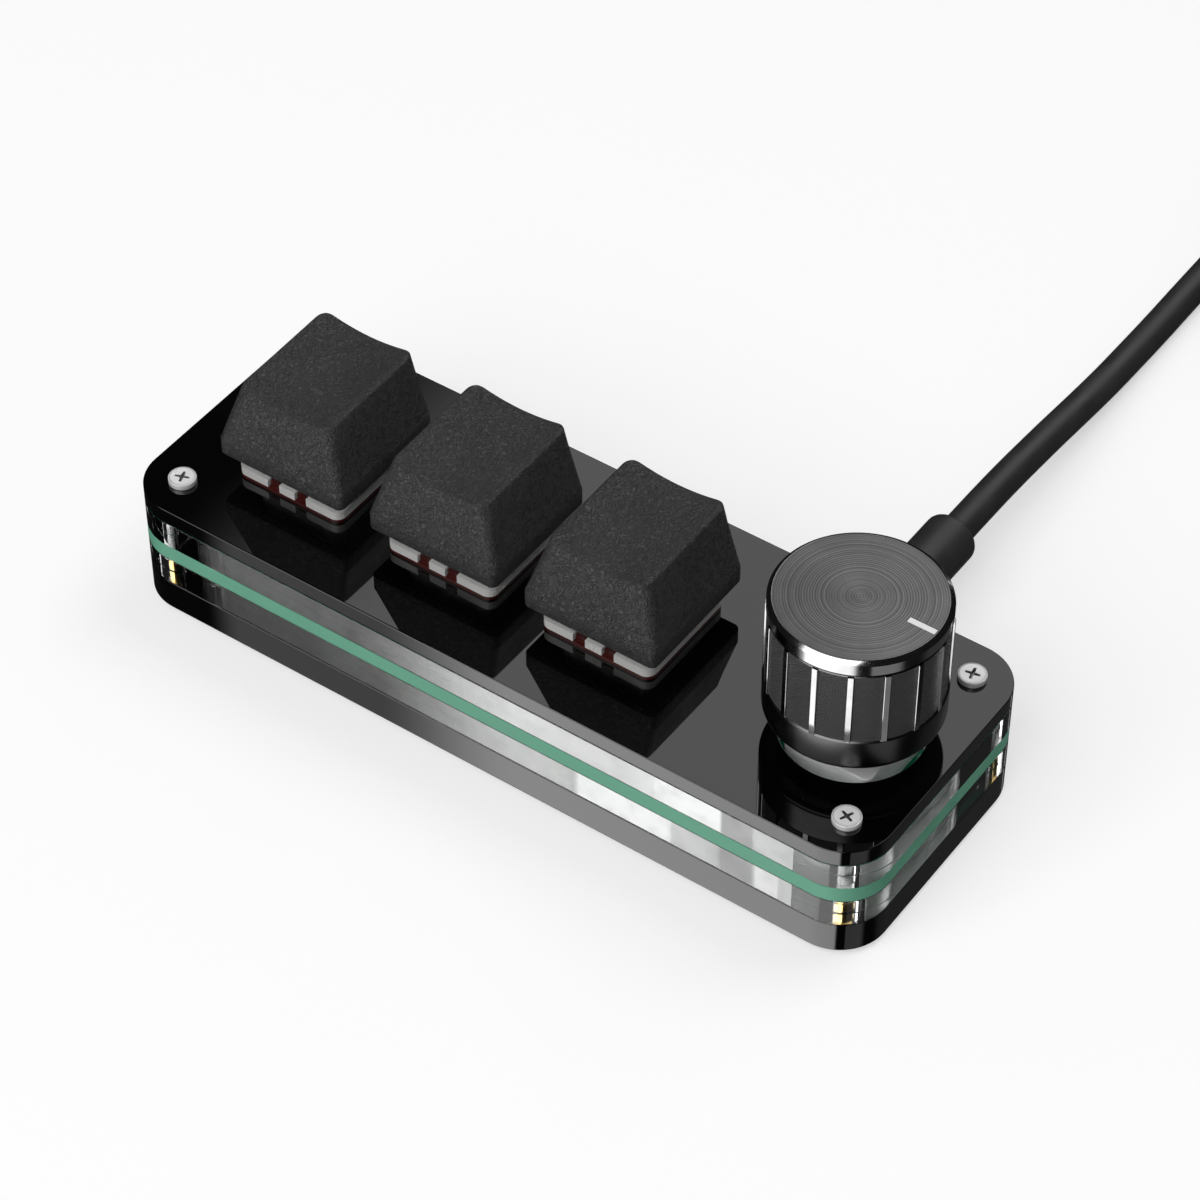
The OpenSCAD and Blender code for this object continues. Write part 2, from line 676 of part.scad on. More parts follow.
function cap_outline(h, inset) =
  let (x = cap_half(h) - inset, f = cap_front(h) + inset, b = cap_back(h) - inset,
    r = max(cap_corner(h) - inset, cap_wall / 2),
    c = [[x - r, b - r], [r - x, b - r], [r - x, f + r], [x - r, f + r]])
  [for (q = [0 : 3]) let (from = c[q] + r * [cos(90 * q + 90), sin(90 * q + 90)],
      to = c[(q + 1) % 4] + r * [cos(90 * q + 90), sin(90 * q + 90)])
    each concat([for (k = [0 : cap_arc_steps])
        c[q] + r * [cos(90 * (q + k / cap_arc_steps)), sin(90 * (q + k / cap_arc_steps))]],
      [for (k = [1 : cap_side_steps]) from + (to - from) * k / (cap_side_steps + 1)])];

// Height of a keycap's top, which rises to the back and is hollowed across
function cap_top(x, y) = cap_front_h
  + (cap_back_h - cap_front_h) * (y - cap_front(cap_low_h)) / (cap_back(cap_low_h) - cap_front(cap_low_h))
  - cap_dish * max(0, 1 - pow(x / (cap_half(cap_low_h) - cap_edge), 2));

function cap_level(h, inset) = [for (p = cap_outline(h, inset)) [p[0], p[1], z_cap + h]];
function cap_top_level(inset, drop) =
  [for (p = cap_outline(cap_low_h, inset)) [p[0], p[1], z_cap + cap_top(p[0], p[1]) - drop]];
function cap_shrunk(share) = let (y0 = (cap_front(cap_low_h) + cap_back(cap_low_h)) / 2)
  [for (p = cap_outline(cap_low_h, cap_edge)) let (x = p[0] * share, y = y0 + (p[1] - y0) * share)
    [x, y, z_cap + cap_top(x, y)]];

module keycap() color("#262626") difference() {
  union() {
    loft(concat([cap_level(cap_ceiling_h, cap_wall + cap_roof), cap_level(cap_ceiling_h, cap_wall),
        cap_level(cap_skirt_h, cap_wall), cap_level(0, cap_wall), cap_level(0, 0), cap_level(cap_skirt_h, 0),
        cap_level((cap_skirt_h + cap_low_h) / 2, 0)],
      [for (e = cap_edge_shares) cap_top_level(e[1] * cap_edge, e[0] * cap_edge)],
      [for (share = cap_top_ring_shares) cap_shrunk(share)]));
    translate([0, 0, z_roof + fit]) cylinder(h = z_cap + cap_ceiling_h - z_roof, r = post_r);
  }
  for (turn = [0, 90]) rotate(turn)
    block(cross_l + 2 * fit, cross_t + 2 * fit, cross_h + slide + over, z_roof - over);
}

// The encoder's solder pins, three at the front and two at the back
pin_step = 2.5;
pin_row_y = 4.6;
module encoder_pin_places() {
  for (x = [-1, 0, 1]) translate([x * pin_step, -pin_row_y]) children();
  for (x = [-1, 1]) translate([x * pin_step, pin_row_y]) children();
}

module encoder_base() color("#1d1d1f") at_dial() difference() {
  slab(z_upper, z_neck - z_upper - fit) square(can_in, center = true);
  slab(z_ring, can_h) circle(cavity_r);
  slab(z_dome, can_h) circle(plunger_r + loose);
}

module encoder_can() color("#c4c6ca") at_dial() {
  difference() {
    slab(z_upper + can_lift, can_h - can_lift) rounded(can_w, can_w, 3 * can_t);
    slab(z_upper - over, can_h - can_t + over) square(can_w - 2 * can_t, center = true);
    translate([0, 0, z_upper]) cylinder(h = can_h + over, r = neck_r + fit);
  }
  for (x = [-1, 1]) translate([x * (can_w - can_t) / 2, 0])
    block(can_t, can_tab_w, board_t + can_lift + leg_l + over, z_board - leg_l);
}

module encoder_neck() color("#b9bbbf") at_dial() rotate_extrude() polygon([
  [shaft_r + 2 * fit, z_neck], [neck_flange_r, z_neck], [neck_flange_r, z_neck + neck_flange_h],
  [neck_r, z_neck + neck_flange_h], [neck_r, z_can + neck_h - loose], [neck_r - loose, z_can + neck_h],
  [shaft_r + 2 * fit, z_can + neck_h]]);

module encoder_pins() color("#cfcfd2") at_dial() encoder_pin_places()
  translate([0, 0, z_board - leg_l]) cylinder(h = board_t + leg_l, r = pin_w / 2);

// A thin snap dome that lies on the base's floor
module encoder_dome() color("#d0d0d4") at_dial() rotate_extrude() polygon([
  [0, z_dome + dome_h - dome_t], [dome_r * 0.6, z_dome + dome_h * 0.6 - dome_t], [dome_r - dome_t, z_dome],
  [dome_r, z_dome], [dome_r * 0.65, z_dome + dome_h * 0.7], [0, z_dome + dome_h]]);

module encoder_plunger() color("#e6e6e6") at_dial()
  translate([0, 0, z_plunger]) cylinder(h = plunger_h, r = plunger_r);

// The drive end of the shaft, with two flats
module drive(r, flat) intersection() {
  circle(r);
  square([2 * flat, 2 * r], center = true);
}

module encoder_rotor() color("#e2d9c4") at_dial() slab(z_rotor, rotor_h) difference() {
  circle(rotor_r);
  drive(key_r + slide / 2, key_flat + slide / 2);
}

module encoder_shaft() color("#c2c4c8") at_dial() {
  slab(z_shaft, z_shaft_shoulder - z_shaft + fit) drive(key_r, key_flat);
  difference() {
    translate([0, 0, z_shaft_shoulder]) cylinder(h = z_shaft_top - z_shaft_shoulder, r = shaft_r);
    translate([flat_x, -2 * shaft_r, z_shaft_top - flat_l]) cube([4 * shaft_r, 4 * shaft_r, flat_l + over]);
  }
}

// The dial's body: rounded foot, ribbed wall, groove, bright ring and bevel, hollow from below
module dial_shell() color("#1e1e1f") at_dial() {
  rotate_extrude() difference() {
    union() {
      translate([0, z_dial]) square([dial_r - dial_foot_r, z_dial_top - z_dial - bevel_h]);
      translate([dial_r - dial_foot_r, z_dial + dial_foot_r]) intersection() {
        circle(dial_foot_r);
        translate([0, -dial_foot_r]) square(dial_foot_r);
      }
      translate([0, z_dial + dial_foot_r]) square([dial_r, foot_band_h - dial_foot_r]);
      translate([0, z_ribs - fit]) square([dial_r - rib_out, ribs_h + fit]);
      polygon([[0, z_ring_low], [ring_r, z_ring_low], [ring_r, z_dial_top - bevel_h],
        [ring_r - bevel, z_dial_top], [0, z_dial_top]]);
    }
    translate([0, z_dial - over]) square([dial_in_r, z_core_top - z_dial + over]);
    translate([0, z_dial_top - disc_seat]) square([disc_r + fit, disc_seat + over]);
  }
  intersection() {
    for (i = [0 : rib_count - 1]) rotate(rib_turn + 360 * i / rib_count)
      translate([dial_r - 2 * rib_out, -rib_w / 2, z_ribs - rib_out])
        cube([2 * rib_out, rib_w, ribs_h + rib_out]);
    translate([0, 0, z_dial]) cylinder(h = dial_h, r = dial_r);
  }
}

module dial_disc() color("#5a5a5c") at_dial() difference() {
  translate([0, 0, z_dial_top - disc_t]) cylinder(h = disc_t, r = disc_r);
  translate([pointer_start, -pointer_w / 2, z_dial_top - pointer_t])
    cube([pointer_l, pointer_w, pointer_t + over]);
}

module dial_pointer() color("#f4f4f4") at_dial()
  translate([pointer_start + fit, fit - pointer_w / 2, z_dial_top - pointer_t])
    cube([pointer_l - 2 * fit, pointer_w - 2 * fit, pointer_t]);

// The core that grips the shaft, with a flange against the shell's roof and wall
module dial_core() color("#2c2c2e") at_dial() difference() {
  union() {
    translate([0, 0, z_core]) cylinder(h = z_core_top - fit - z_core, r = core_r);
    translate([0, 0, z_core_top - fit - core_flange_h]) cylinder(h = core_flange_h, r = dial_in_r - fit);
  }
  intersection() {
    translate([0, 0, z_core - over]) cylinder(h = z_shaft_top + loose - z_core + over, r = shaft_r + fit);
    union() {
      translate([-4 * shaft_r + flat_x + fit, -2 * shaft_r, z_core - over])
        cube([4 * shaft_r, 4 * shaft_r, z_shaft_top - z_core + 2 * over]);
      translate([-2 * shaft_r, -2 * shaft_r, z_core - over])
        cube([4 * shaft_r, 4 * shaft_r, z_shaft_top - flat_l + fit - z_core + over]);
    }
  }
}

module usb_plug_shell() color("#c9ccd0") at_socket() difference() {
  stadium(plug_shell_w, plug_shell_h, back_y - plug_in + loose, plug_in + plug_gap - loose);
  stadium(plug_shell_w - 2 * plug_shell_t, plug_shell_h - 2 * plug_shell_t, back_y - plug_in - over,
    plug_in + over - plug_shell_t);
}

// The plug's grip and the round boot behind it, moulded in one
module usb_plug_grip() color("#1f1f20") at_socket() {
  hull() {
    stadium(grip_w, grip_h, back_y + plug_gap + cord_r / 4, grip_l - cord_r, $fn = 32);
    stadium(grip_w - cord_r / 2, grip_h - cord_r / 2, back_y + plug_gap, grip_l - cord_r, $fn = 32);
    translate([0, back_y + plug_gap + grip_l, 0]) rotate([90, 0, 0]) cylinder(h = fit, r = boot_r, $fn = 32);
  }
  translate([0, boot_end_y, 0]) rotate([90, 0, 0]) rotate_extrude() {
    translate([0, boot_edge_r]) square([boot_r, boot_l - plug_gap - grip_l / 2 - boot_r / 2 - boot_edge_r]);
    square([boot_r - boot_edge_r, 2 * boot_edge_r]);
    intersection() {
      translate([boot_r - boot_edge_r, boot_edge_r]) circle(boot_edge_r, $fn = 48);
      square([boot_r, 2 * boot_edge_r]);
    }
  }
}

module usb_cord() color("#1b1b1c") tube(cord_route, cord_r, cord_sides);

module usb_cord_coil() color("#1b1b1c") tube(coil_path, cord_r, coil_sides);

module usb_cord_tail() color("#1b1b1c") tube(tail_route, cord_r, cord_sides);

// A band round the coil's turns where they lie straight above each other
tie_gap = 0.05;
tie_slack = 0.25;
tie_mid_r = coil_out_r - (1 + tie_turn_share) * coil_pitch;
module tie_middle() square([(coil_turns - 1) * coil_pitch + 2 * tie_slack, coil_rise], center = true);
module cable_tie() color("#202022") translate([coil_centre[0] - tie_w / 2, coil_centre[1] - tie_mid_r,
    cord_rest_z + tie_lift + coil_rise / 2]) rotate([90, 0, 90]) linear_extrude(tie_w) difference() {
  offset(cord_r + tie_gap + tie_t) tie_middle();
  offset(cord_r + tie_gap) tie_middle();
}

tail_end = tail_route[len(tail_route) - 1];
module at_far_plug() translate(tail_end) rotate(180) children();

module far_plug_grip() color("#1f1f20") at_far_plug() rotate([-90, 0, 0]) hull() {
  slab(cord_r, far_grip_l - cord_r) rounded(far_grip_w, far_grip_h, far_grip_h / 4, $fn = 32);
  slab(0, far_grip_l) rounded(far_grip_w - cord_r, far_grip_h - cord_r, far_grip_h / 4, $fn = 32);
}

module far_plug_shell() color("#c9ccd0") at_far_plug() translate([0, far_grip_l + far_shell_l, 0])
  rotate([90, 0, 0]) difference() {
    slab(0, far_shell_l) square([far_shell_w, far_shell_h], center = true);
    slab(-over, far_shell_l + over - far_shell_t)
      square([far_shell_w - 2 * far_shell_t, far_shell_h - 2 * far_shell_t], center = true);
  }

far_in_w = far_shell_w - 2 * far_shell_t - 2 * fit;
module far_plug_tongue() color("#f0f0ee") at_far_plug()
  translate([-far_shell_w / 2 + far_shell_t + fit, far_grip_l + far_shell_t + fit,
    far_shell_h / 2 - far_shell_t - far_tongue_h - fit]) cube([far_in_w, far_shell_l - 2 * far_shell_t, far_tongue_h]);

bottom_plate();
lower_clear_frame();
circuit_board();
upper_clear_frame();
top_plate();
top_screws();
bottom_screws();
brass_standoffs();
rubber_feet();
usb_socket_shell();
usb_socket_tongue();
controller_chip();
board_parts();
at_key(1) lower_housing();  // switch_1_lower_housing
at_key(2) lower_housing();  // switch_2_lower_housing
at_key(3) lower_housing();  // switch_3_lower_housing
at_key(1) upper_housing();  // switch_1_upper_housing
at_key(2) upper_housing();  // switch_2_upper_housing
at_key(3) upper_housing();  // switch_3_upper_housing
at_key(1) stem();  // switch_1_stem
at_key(2) stem();  // switch_2_stem
at_key(3) stem();  // switch_3_stem
at_key(1) spring();  // switch_1_spring
at_key(2) spring();  // switch_2_spring
at_key(3) spring();  // switch_3_spring
at_key(1) contacts();  // switch_1_contacts
at_key(2) contacts();  // switch_2_contacts
at_key(3) contacts();  // switch_3_contacts
at_key(1) keycap();  // keycap_1
at_key(2) keycap();  // keycap_2
at_key(3) keycap();  // keycap_3
encoder_base();
encoder_can();
encoder_neck();
encoder_pins();
encoder_dome();
encoder_plunger();
encoder_rotor();
encoder_shaft();
dial_shell();
dial_disc();
dial_pointer();
dial_core();
usb_plug_shell();
usb_plug_grip();
usb_cord();
usb_cord_coil();
usb_cord_tail();
cable_tie();
far_plug_grip();
far_plug_shell();
far_plug_tongue();
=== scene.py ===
"""A small desk keypad of stacked sheets: three sprung keys, a knurled push dial and a plug-in cable.

Shapes are worked out in millimetres from formulas on grids and carried profiles, and put into meshes in metres.
"""

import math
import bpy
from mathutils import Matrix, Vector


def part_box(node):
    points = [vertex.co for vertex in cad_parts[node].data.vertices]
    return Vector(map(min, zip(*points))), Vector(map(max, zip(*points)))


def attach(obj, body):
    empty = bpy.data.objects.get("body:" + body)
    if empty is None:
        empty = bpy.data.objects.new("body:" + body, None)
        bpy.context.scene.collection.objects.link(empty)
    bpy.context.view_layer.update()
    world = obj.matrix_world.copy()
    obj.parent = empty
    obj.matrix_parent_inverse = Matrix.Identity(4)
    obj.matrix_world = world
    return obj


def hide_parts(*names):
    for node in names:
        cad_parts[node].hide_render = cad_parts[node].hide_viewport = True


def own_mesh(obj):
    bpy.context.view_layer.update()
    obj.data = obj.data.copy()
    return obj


bl_info = {
    "name": "Desk Keypad with Push Dial",
    "version": (1, 0, 0),
    "blender": (4, 5, 0),
    "location": "3D View > Sidebar > Keypad",
    "description": "Builds a desk keypad with clear sheets, sprung keys, a knurled dial and its coiled cable",
    "category": "Mesh",
}

import bmesh
import bpy
import numpy as np
from bpy.props import FloatProperty, FloatVectorProperty, IntProperty, PointerProperty
from mathutils import Matrix, Vector, geometry

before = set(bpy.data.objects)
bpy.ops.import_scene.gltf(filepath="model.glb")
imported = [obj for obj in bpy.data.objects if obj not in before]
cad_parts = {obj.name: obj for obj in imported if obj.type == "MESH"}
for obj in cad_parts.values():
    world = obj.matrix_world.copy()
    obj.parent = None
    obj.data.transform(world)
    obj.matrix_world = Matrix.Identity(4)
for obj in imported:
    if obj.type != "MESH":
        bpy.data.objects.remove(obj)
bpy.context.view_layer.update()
MM = 0.001
TURN = 2 * math.pi


def corners(node):
    """Lowest and highest corner of a CAD node, in millimetres."""
    low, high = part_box(node)
    return np.array(low) / MM, np.array(high) / MM


def middle(node):
    """Middle of a CAD node's box, in millimetres."""
    low, high = corners(node)
    return (low + high) / 2


KEYS = (1, 2, 3)
KEY_PLACES = {k: middle(f"switch_{k}_lower_housing")[:2] for k in KEYS}
DIAL_PLACE = middle("dial_disc")[:2]
SOCKET_PLACE = middle("usb_socket_shell")
CASE_LOW, CASE_HIGH = corners("bottom_plate")
FACE_Z = corners("top_plate")[1][2]
BOARD_LOW, BOARD_HIGH = (corner[2] for corner in corners("circuit_board"))
# Sizes in millimetres that several pieces share
SCREW_X, SCREW_Y = 46.95, 13.2
SCREW_PLACES = [(x, y) for x in (-SCREW_X, SCREW_X) for y in (-SCREW_Y, SCREW_Y)]
SCREW_HOLE_R = 1.1
SWITCH_W = 13.9
SWITCH_HOLE_W = 14.1
KEY_TRAVEL = 3.6
DIAL_HOLE_R = 8.6
CAN_TAB_X = 5.625
CORD_R = 2.08
# The camera's level axis, in the part's own frame
CAMERA_RIGHT = (0.8179, 0.5754, 0)


# ---------------------------------------------------------------- finishes


def grey(level, blue=None):
    """A grey, with its blue a little apart from it where that is given."""
    return level, level, level if blue is None else blue


def lines(size, depth, **along):
    """A bump of tool lines: their size and depth in millimetres, and how far each axis is drawn out."""
    return [("Tool lines", {"Size": size, **{f"Along {axis}": share for axis, share in along.items()}}, depth, False)]


def skin(size, depth):
    """A bump of a moulding's spark-eroded skin: its size and depth in millimetres."""
    return [("Moulded skin", {"Size": size}, depth, False)]


CUT_WALL = dict(second=(0.93, 0.935, 0.93), rough=(0.45, 0.6), ior=1.49, glass=0.25)
PANE = dict(color=(0.96, 0.965, 0.96), second=(0.93, 0.935, 0.93), rough=(0.02, 0.05), metal=1.0)
# painted shade in the creases of the caps' leather grain
PAINTED_CREASE_SHADE = grey(0.027, 0.0273)
TRACK_GREEN = (0.02, 0.52, 0.28)

# Each finish: two tones that the slow drift mixes, two roughnesses, bumps as (effect, values, depth in mm, on UVs)
FINISHES = {
    "black_acrylic": dict(color=grey(0.0008, 0.0009), rough=(0.012, 0.03), level=0.8, drift=14.0),
    "clear_acrylic": dict(color=(0.97, 0.995, 0.985), rough=(0.0, 0.012), ior=1.49, glass=1.0,
                          bumps=lines(0.9, 0.004, Z=0.08)),
    # the cut walls run from their dark first tone at the left to the pale second tone at the right, by the x span in
    # mm: a painted shade
    "cut_upper": dict(CUT_WALL, color=grey(0.10), along=(-44, 10)),
    "cut_lower": dict(CUT_WALL, color=grey(0.05), along=(-34, 10)),
    # painted see-through light, a mirror pane in the depth of a clear sheet that shows the white ground: (mm along the
    # front edge, share of the white ground seen)
    "sight_upper": dict(PANE, sight=[
        (-41, 0.0), (-38.5, 0.1), (-26, 0.11), (-18, 0.04), (-10, 0.13), (-2, 0.33), (5, 0.56), (22, 0.62),
        (24.6, 0.8), (24.8, 1.0), (33.6, 1.0), (33.8, 0.3), (38, 0.34), (38.3, 0.56), (43, 0.5)]),
    "sight_lower": dict(PANE, sight=[
        (-41, 0.0), (-38.5, 0.03), (-14, 0.04), (-6, 0.12), (0, 0.24), (8, 0.42), (14.0, 0.38), (14.2, 1.0),
        (26.9, 1.0), (27.1, 0.6), (33.5, 0.5), (33.8, 0.27), (38.2, 0.3), (38.5, 0.85), (41.5, 0.8), (41.7, 0.5),
        (43, 0.5)]),
    "cut_round": dict(color=(0.88, 0.93, 0.91), second=(0.95, 0.98, 0.965), rough=(0.22, 0.36), ior=1.49, glass=0.35),
    "board_green": dict(color=(0.115, 0.37, 0.245), second=(0.14, 0.41, 0.275), rough=(0.42, 0.55), ior=1.45,
                        bumps=lines(0.25, 0.006, Z=0.3)),
    "board_face": dict(color=(0.004, 0.42, 0.2), rough=(0.12, 0.2), tracks=True),
    "screw_steel": dict(color=grey(0.96), second=grey(0.9, 0.905), rough=(0.26, 0.34), metal=0.3,
                        bumps=lines(0.12, 0.002, X=0.2)),
    # a darker copy of the screw steel: painted shade in the cross recesses
    "screw_recess": dict(color=grey(0.3, 0.303), second=grey(0.38, 0.383), rough=(0.4, 0.5), metal=1.0),
    "brass": dict(color=(0.88, 0.62, 0.22), second=(0.80, 0.53, 0.16), rough=(0.12, 0.24), metal=1.0,
                  bumps=lines(0.2, 0.003, X=0.1, Y=0.1)),
    "foot_rubber": dict(color=grey(0.02, 0.021), second=grey(0.03, 0.031), rough=(0.7, 0.85), bumps=skin(0.2, 0.02)),
    "bright_steel": dict(color=grey(0.86, 0.87), second=grey(0.78, 0.79), rough=(0.08, 0.18), metal=1.0,
                         bumps=lines(0.15, 0.0015, Y=0.1)),
    "tin_plate": dict(color=grey(0.93, 0.935), second=grey(0.86, 0.865), rough=(0.3, 0.42), metal=0.1,
                      bumps=lines(0.2, 0.003, Y=0.1)),
    "black_plastic": dict(color=grey(0.014, 0.015), second=grey(0.02, 0.021), rough=(0.35, 0.5),
                          bumps=skin(0.12, 0.008)),
    "chip_plastic": dict(color=grey(0.012, 0.013), second=grey(0.018, 0.019), rough=(0.5, 0.62),
                         bumps=skin(0.08, 0.01)),
    "part_ceramic": dict(color=(0.52, 0.40, 0.24), second=(0.44, 0.33, 0.19), rough=(0.4, 0.5)),
    "tinned": dict(color=grey(0.8, 0.79), second=grey(0.68, 0.67), rough=(0.22, 0.4), metal=1.0, drift=0.6),
    "housing_red": dict(color=(0.045, 0.006, 0.005), second=(0.06, 0.008, 0.0065), rough=(0.22, 0.34),
                        bumps=skin(0.1, 0.006)),
    "housing_milky": dict(color=(0.93, 0.925, 0.91), second=(0.88, 0.875, 0.86), rough=(0.25, 0.36), glass=0.3,
                          bumps=skin(0.25, 0.004)),
    "stem_red": dict(color=(0.48, 0.025, 0.015), second=(0.42, 0.02, 0.012), rough=(0.22, 0.32)),
    "spring_steel": dict(color=grey(0.76, 0.77), second=grey(0.66, 0.67), rough=(0.15, 0.28), metal=1.0, drift=1.5),
    "contact_metal": dict(color=(0.86, 0.63, 0.27), second=(0.78, 0.54, 0.2), rough=(0.14, 0.26), metal=1.0,
                          drift=2.0),
    "cap_black": dict(color=grey(0.045, 0.0454), second=grey(0.056, 0.0565), rough=(0.42, 0.52), ior=1.46,
                      grain=True),
    "zinc": dict(color=(0.74, 0.745, 0.76), second=(0.66, 0.665, 0.68), rough=(0.14, 0.26), metal=1.0, drift=3.0),
    "rotor_plastic": dict(color=(0.62, 0.56, 0.45), second=(0.56, 0.50, 0.39), rough=(0.4, 0.5)),
    "dial_black": dict(color=grey(0.105, 0.107), second=grey(0.085, 0.087), rough=(0.2, 0.28), metal=1.0,
                       bumps=lines(0.12, 0.002, X=0.15, Y=0.15)),
    "dial_knurl": dict(color=grey(0.06, 0.061), second=grey(0.05, 0.051), rough=(0.3, 0.36), level=0.7, knurl=0.08),
    "cut_metal": dict(color=grey(0.46, 0.465), second=grey(0.40, 0.405), rough=(0.1, 0.16), metal=1.0, drift=2.5,
                      bumps=lines(0.1, 0.001, X=0.12, Y=0.12)),
    "disc_grey": dict(color=grey(0.235, 0.237), second=grey(0.125, 0.127), rough=(0.24, 0.3), metal=1.0, spun=True),
    "pointer_white": dict(color=grey(0.86, 0.85), second=grey(0.80, 0.79), rough=(0.35, 0.45),
                          bumps=skin(0.1, 0.004)),
    "cable_black": dict(color=grey(0.024, 0.0243), second=grey(0.03, 0.0304), rough=(0.4, 0.5), ior=1.48,
                        bumps=skin(0.35, 0.012)),
    "tie_fabric": dict(color=grey(0.014, 0.015), second=grey(0.024, 0.025), rough=(0.8, 0.9), sheen=0.3,
                       bumps=[("Plain weave", {"Pitch": 0.35}, 0.06, True)]),
    "tongue_white": dict(color=grey(0.78, 0.76), second=grey(0.72, 0.70), rough=(0.3, 0.4)),
}
# Finishes whose first tone is held by a setting: (group, name)
TINTS = {
    "black_acrylic": ("keypad_case", "sheet_colour"),
    "board_green": ("keypad_case", "board_colour"),
    "cap_black": ("keypad_keys", "cap_colour"),
    "housing_red": ("keypad_keys", "housing_colour"),
    "dial_black": ("keypad_dial", "body_colour"),
    "disc_grey": ("keypad_dial", "face_colour"),
    "cable_black": ("keypad_cable", "colour"),
}


# ---------------------------------------------------------------- settings


class CaseSettings(bpy.types.PropertyGroup):
    """Sizes and colours of the stacked case."""

    edge: FloatProperty(
        name="Sheet edge", description="Rounding of the cut edges of the sheets",
        default=0.12 * MM, min=0.02 * MM, max=0.4 * MM, unit="LENGTH", precision=5,
    )
    corner: FloatProperty(
        name="Corner", description="Radius of the case's corners",
        default=6.2 * MM, min=4 * MM, max=8 * MM, unit="LENGTH", precision=4,
    )
    opening_gap: FloatProperty(
        name="Opening gap", description="Gap between the switches and the opening in the clear sheets",
        default=0.4 * MM, min=0.2 * MM, max=1 * MM, unit="LENGTH", precision=4,
    )
    thread: FloatProperty(
        name="Screw thread", description="Pitch of the thread on the screws",
        default=0.4 * MM, min=0.25 * MM, max=0.5 * MM, unit="LENGTH", precision=5,
    )
    sheet_colour: FloatVectorProperty(
        name="Sheet colour", description="Colour of the black sheets",
        subtype="COLOR", size=3, default=FINISHES["black_acrylic"]["color"], min=0, max=1,
    )
    board_colour: FloatVectorProperty(
        name="Board colour", description="Colour of the circuit board's edge",
        subtype="COLOR", size=3, default=FINISHES["board_green"]["color"], min=0, max=1,
    )


class KeySettings(bpy.types.PropertyGroup):
    """Sizes and colours of the keys."""

    grain: FloatProperty(
        name="Grain size", description="Distance between the creases of the caps' leather grain",
        default=0.55 * MM, min=0.2 * MM, max=2 * MM, unit="LENGTH", precision=5,
    )
    dish: FloatProperty(
        name="Finger hollow", description="Depth of the hollow across a cap's top",
        default=0.8 * MM, min=0, max=1.2 * MM, unit="LENGTH", precision=4,
    )
    edge: FloatProperty(
        name="Cap edge", description="Rounding of the edge round a cap's top",
        default=0.3 * MM, min=0.1 * MM, max=0.6 * MM, unit="LENGTH", precision=4,
    )
    cap_colour: FloatVectorProperty(
        name="Cap colour", description="Colour of the caps",
        subtype="COLOR", size=3, default=FINISHES["cap_black"]["color"], min=0, max=1,
    )
    housing_colour: FloatVectorProperty(
        name="Housing colour", description="Colour of the lower switch housings",
        subtype="COLOR", size=3, default=FINISHES["housing_red"]["color"], min=0, max=1,
    )


class DialSettings(bpy.types.PropertyGroup):
    """Sizes and colours of the dial."""

    ribs: IntProperty(name="Ribs", description="Number of bright ribs round the dial", default=16, min=4, max=48)
    rib_turn: FloatProperty(
        name="Rib start", description="Angle of the first rib", default=math.radians(4.4), subtype="ANGLE",
    )
    knurl: FloatProperty(
        name="Knurl pitch", description="Size of the diamonds between the ribs",
        default=0.36 * MM, min=0.2 * MM, max=1 * MM, unit="LENGTH", precision=5,
    )
    ring_pitch: FloatProperty(
        name="Spun rings", description="Distance between the rings on the dial's face",
        default=0.3 * MM, min=0.1 * MM, max=1 * MM, unit="LENGTH", precision=5,
    )
    body_colour: FloatVectorProperty(
        name="Body colour", description="Colour of the dyed aluminium",
        subtype="COLOR", size=3, default=FINISHES["dial_black"]["color"], min=0, max=1,
    )
    face_colour: FloatVectorProperty(
        name="Face colour", description="Colour of the light rings on the spun face",
        subtype="COLOR", size=3, default=FINISHES["disc_grey"]["color"], min=0, max=1,
    )


class CableSettings(bpy.types.PropertyGroup):
    """Sizes and colours of the cable."""

    length: FloatProperty(
        name="Length", description="Real length of the cable from boot to far plug",
        default=1.0, min=0.3, max=3, unit="LENGTH",
    )
    radius: FloatProperty(
        name="Radius", description="Radius of the cable",
        default=CORD_R * MM, min=1.6 * MM, max=2.2 * MM, unit="LENGTH", precision=5,
    )
    colour: FloatVectorProperty(
        name="Cable colour", description="Colour of the cable's jacket",
        subtype="COLOR", size=3, default=FINISHES["cable_black"]["color"], min=0, max=1,
    )


class StudioSettings(bpy.types.PropertyGroup):
    """Light and camera of the stage."""

    lens: FloatProperty(name="Lens", description="Focal length of the camera", default=119.48, min=20, max=300)
    key_light: FloatProperty(
        name="Key light", description="Radiant power of the large lamp", default=12.0, min=0, unit="POWER",
    )
    sky: FloatProperty(name="Sky", description="Plain light from all round", default=0.22, min=0, max=2)


# ---------------------------------------------------------------- meshes from arrays


def quads(rows, cols, wrap=True, start=0):
    """Corner indices of the quads of a grid of rows by cols points; wrap joins the last column to the first."""
    i, j = np.meshgrid(np.arange(rows - 1), np.arange(cols if wrap else cols - 1), indexing="ij")
    k = (j + 1) % cols
    return start + np.stack([i * cols + j, i * cols + k, (i + 1) * cols + k, (i + 1) * cols + j], -1).reshape(-1, 4)


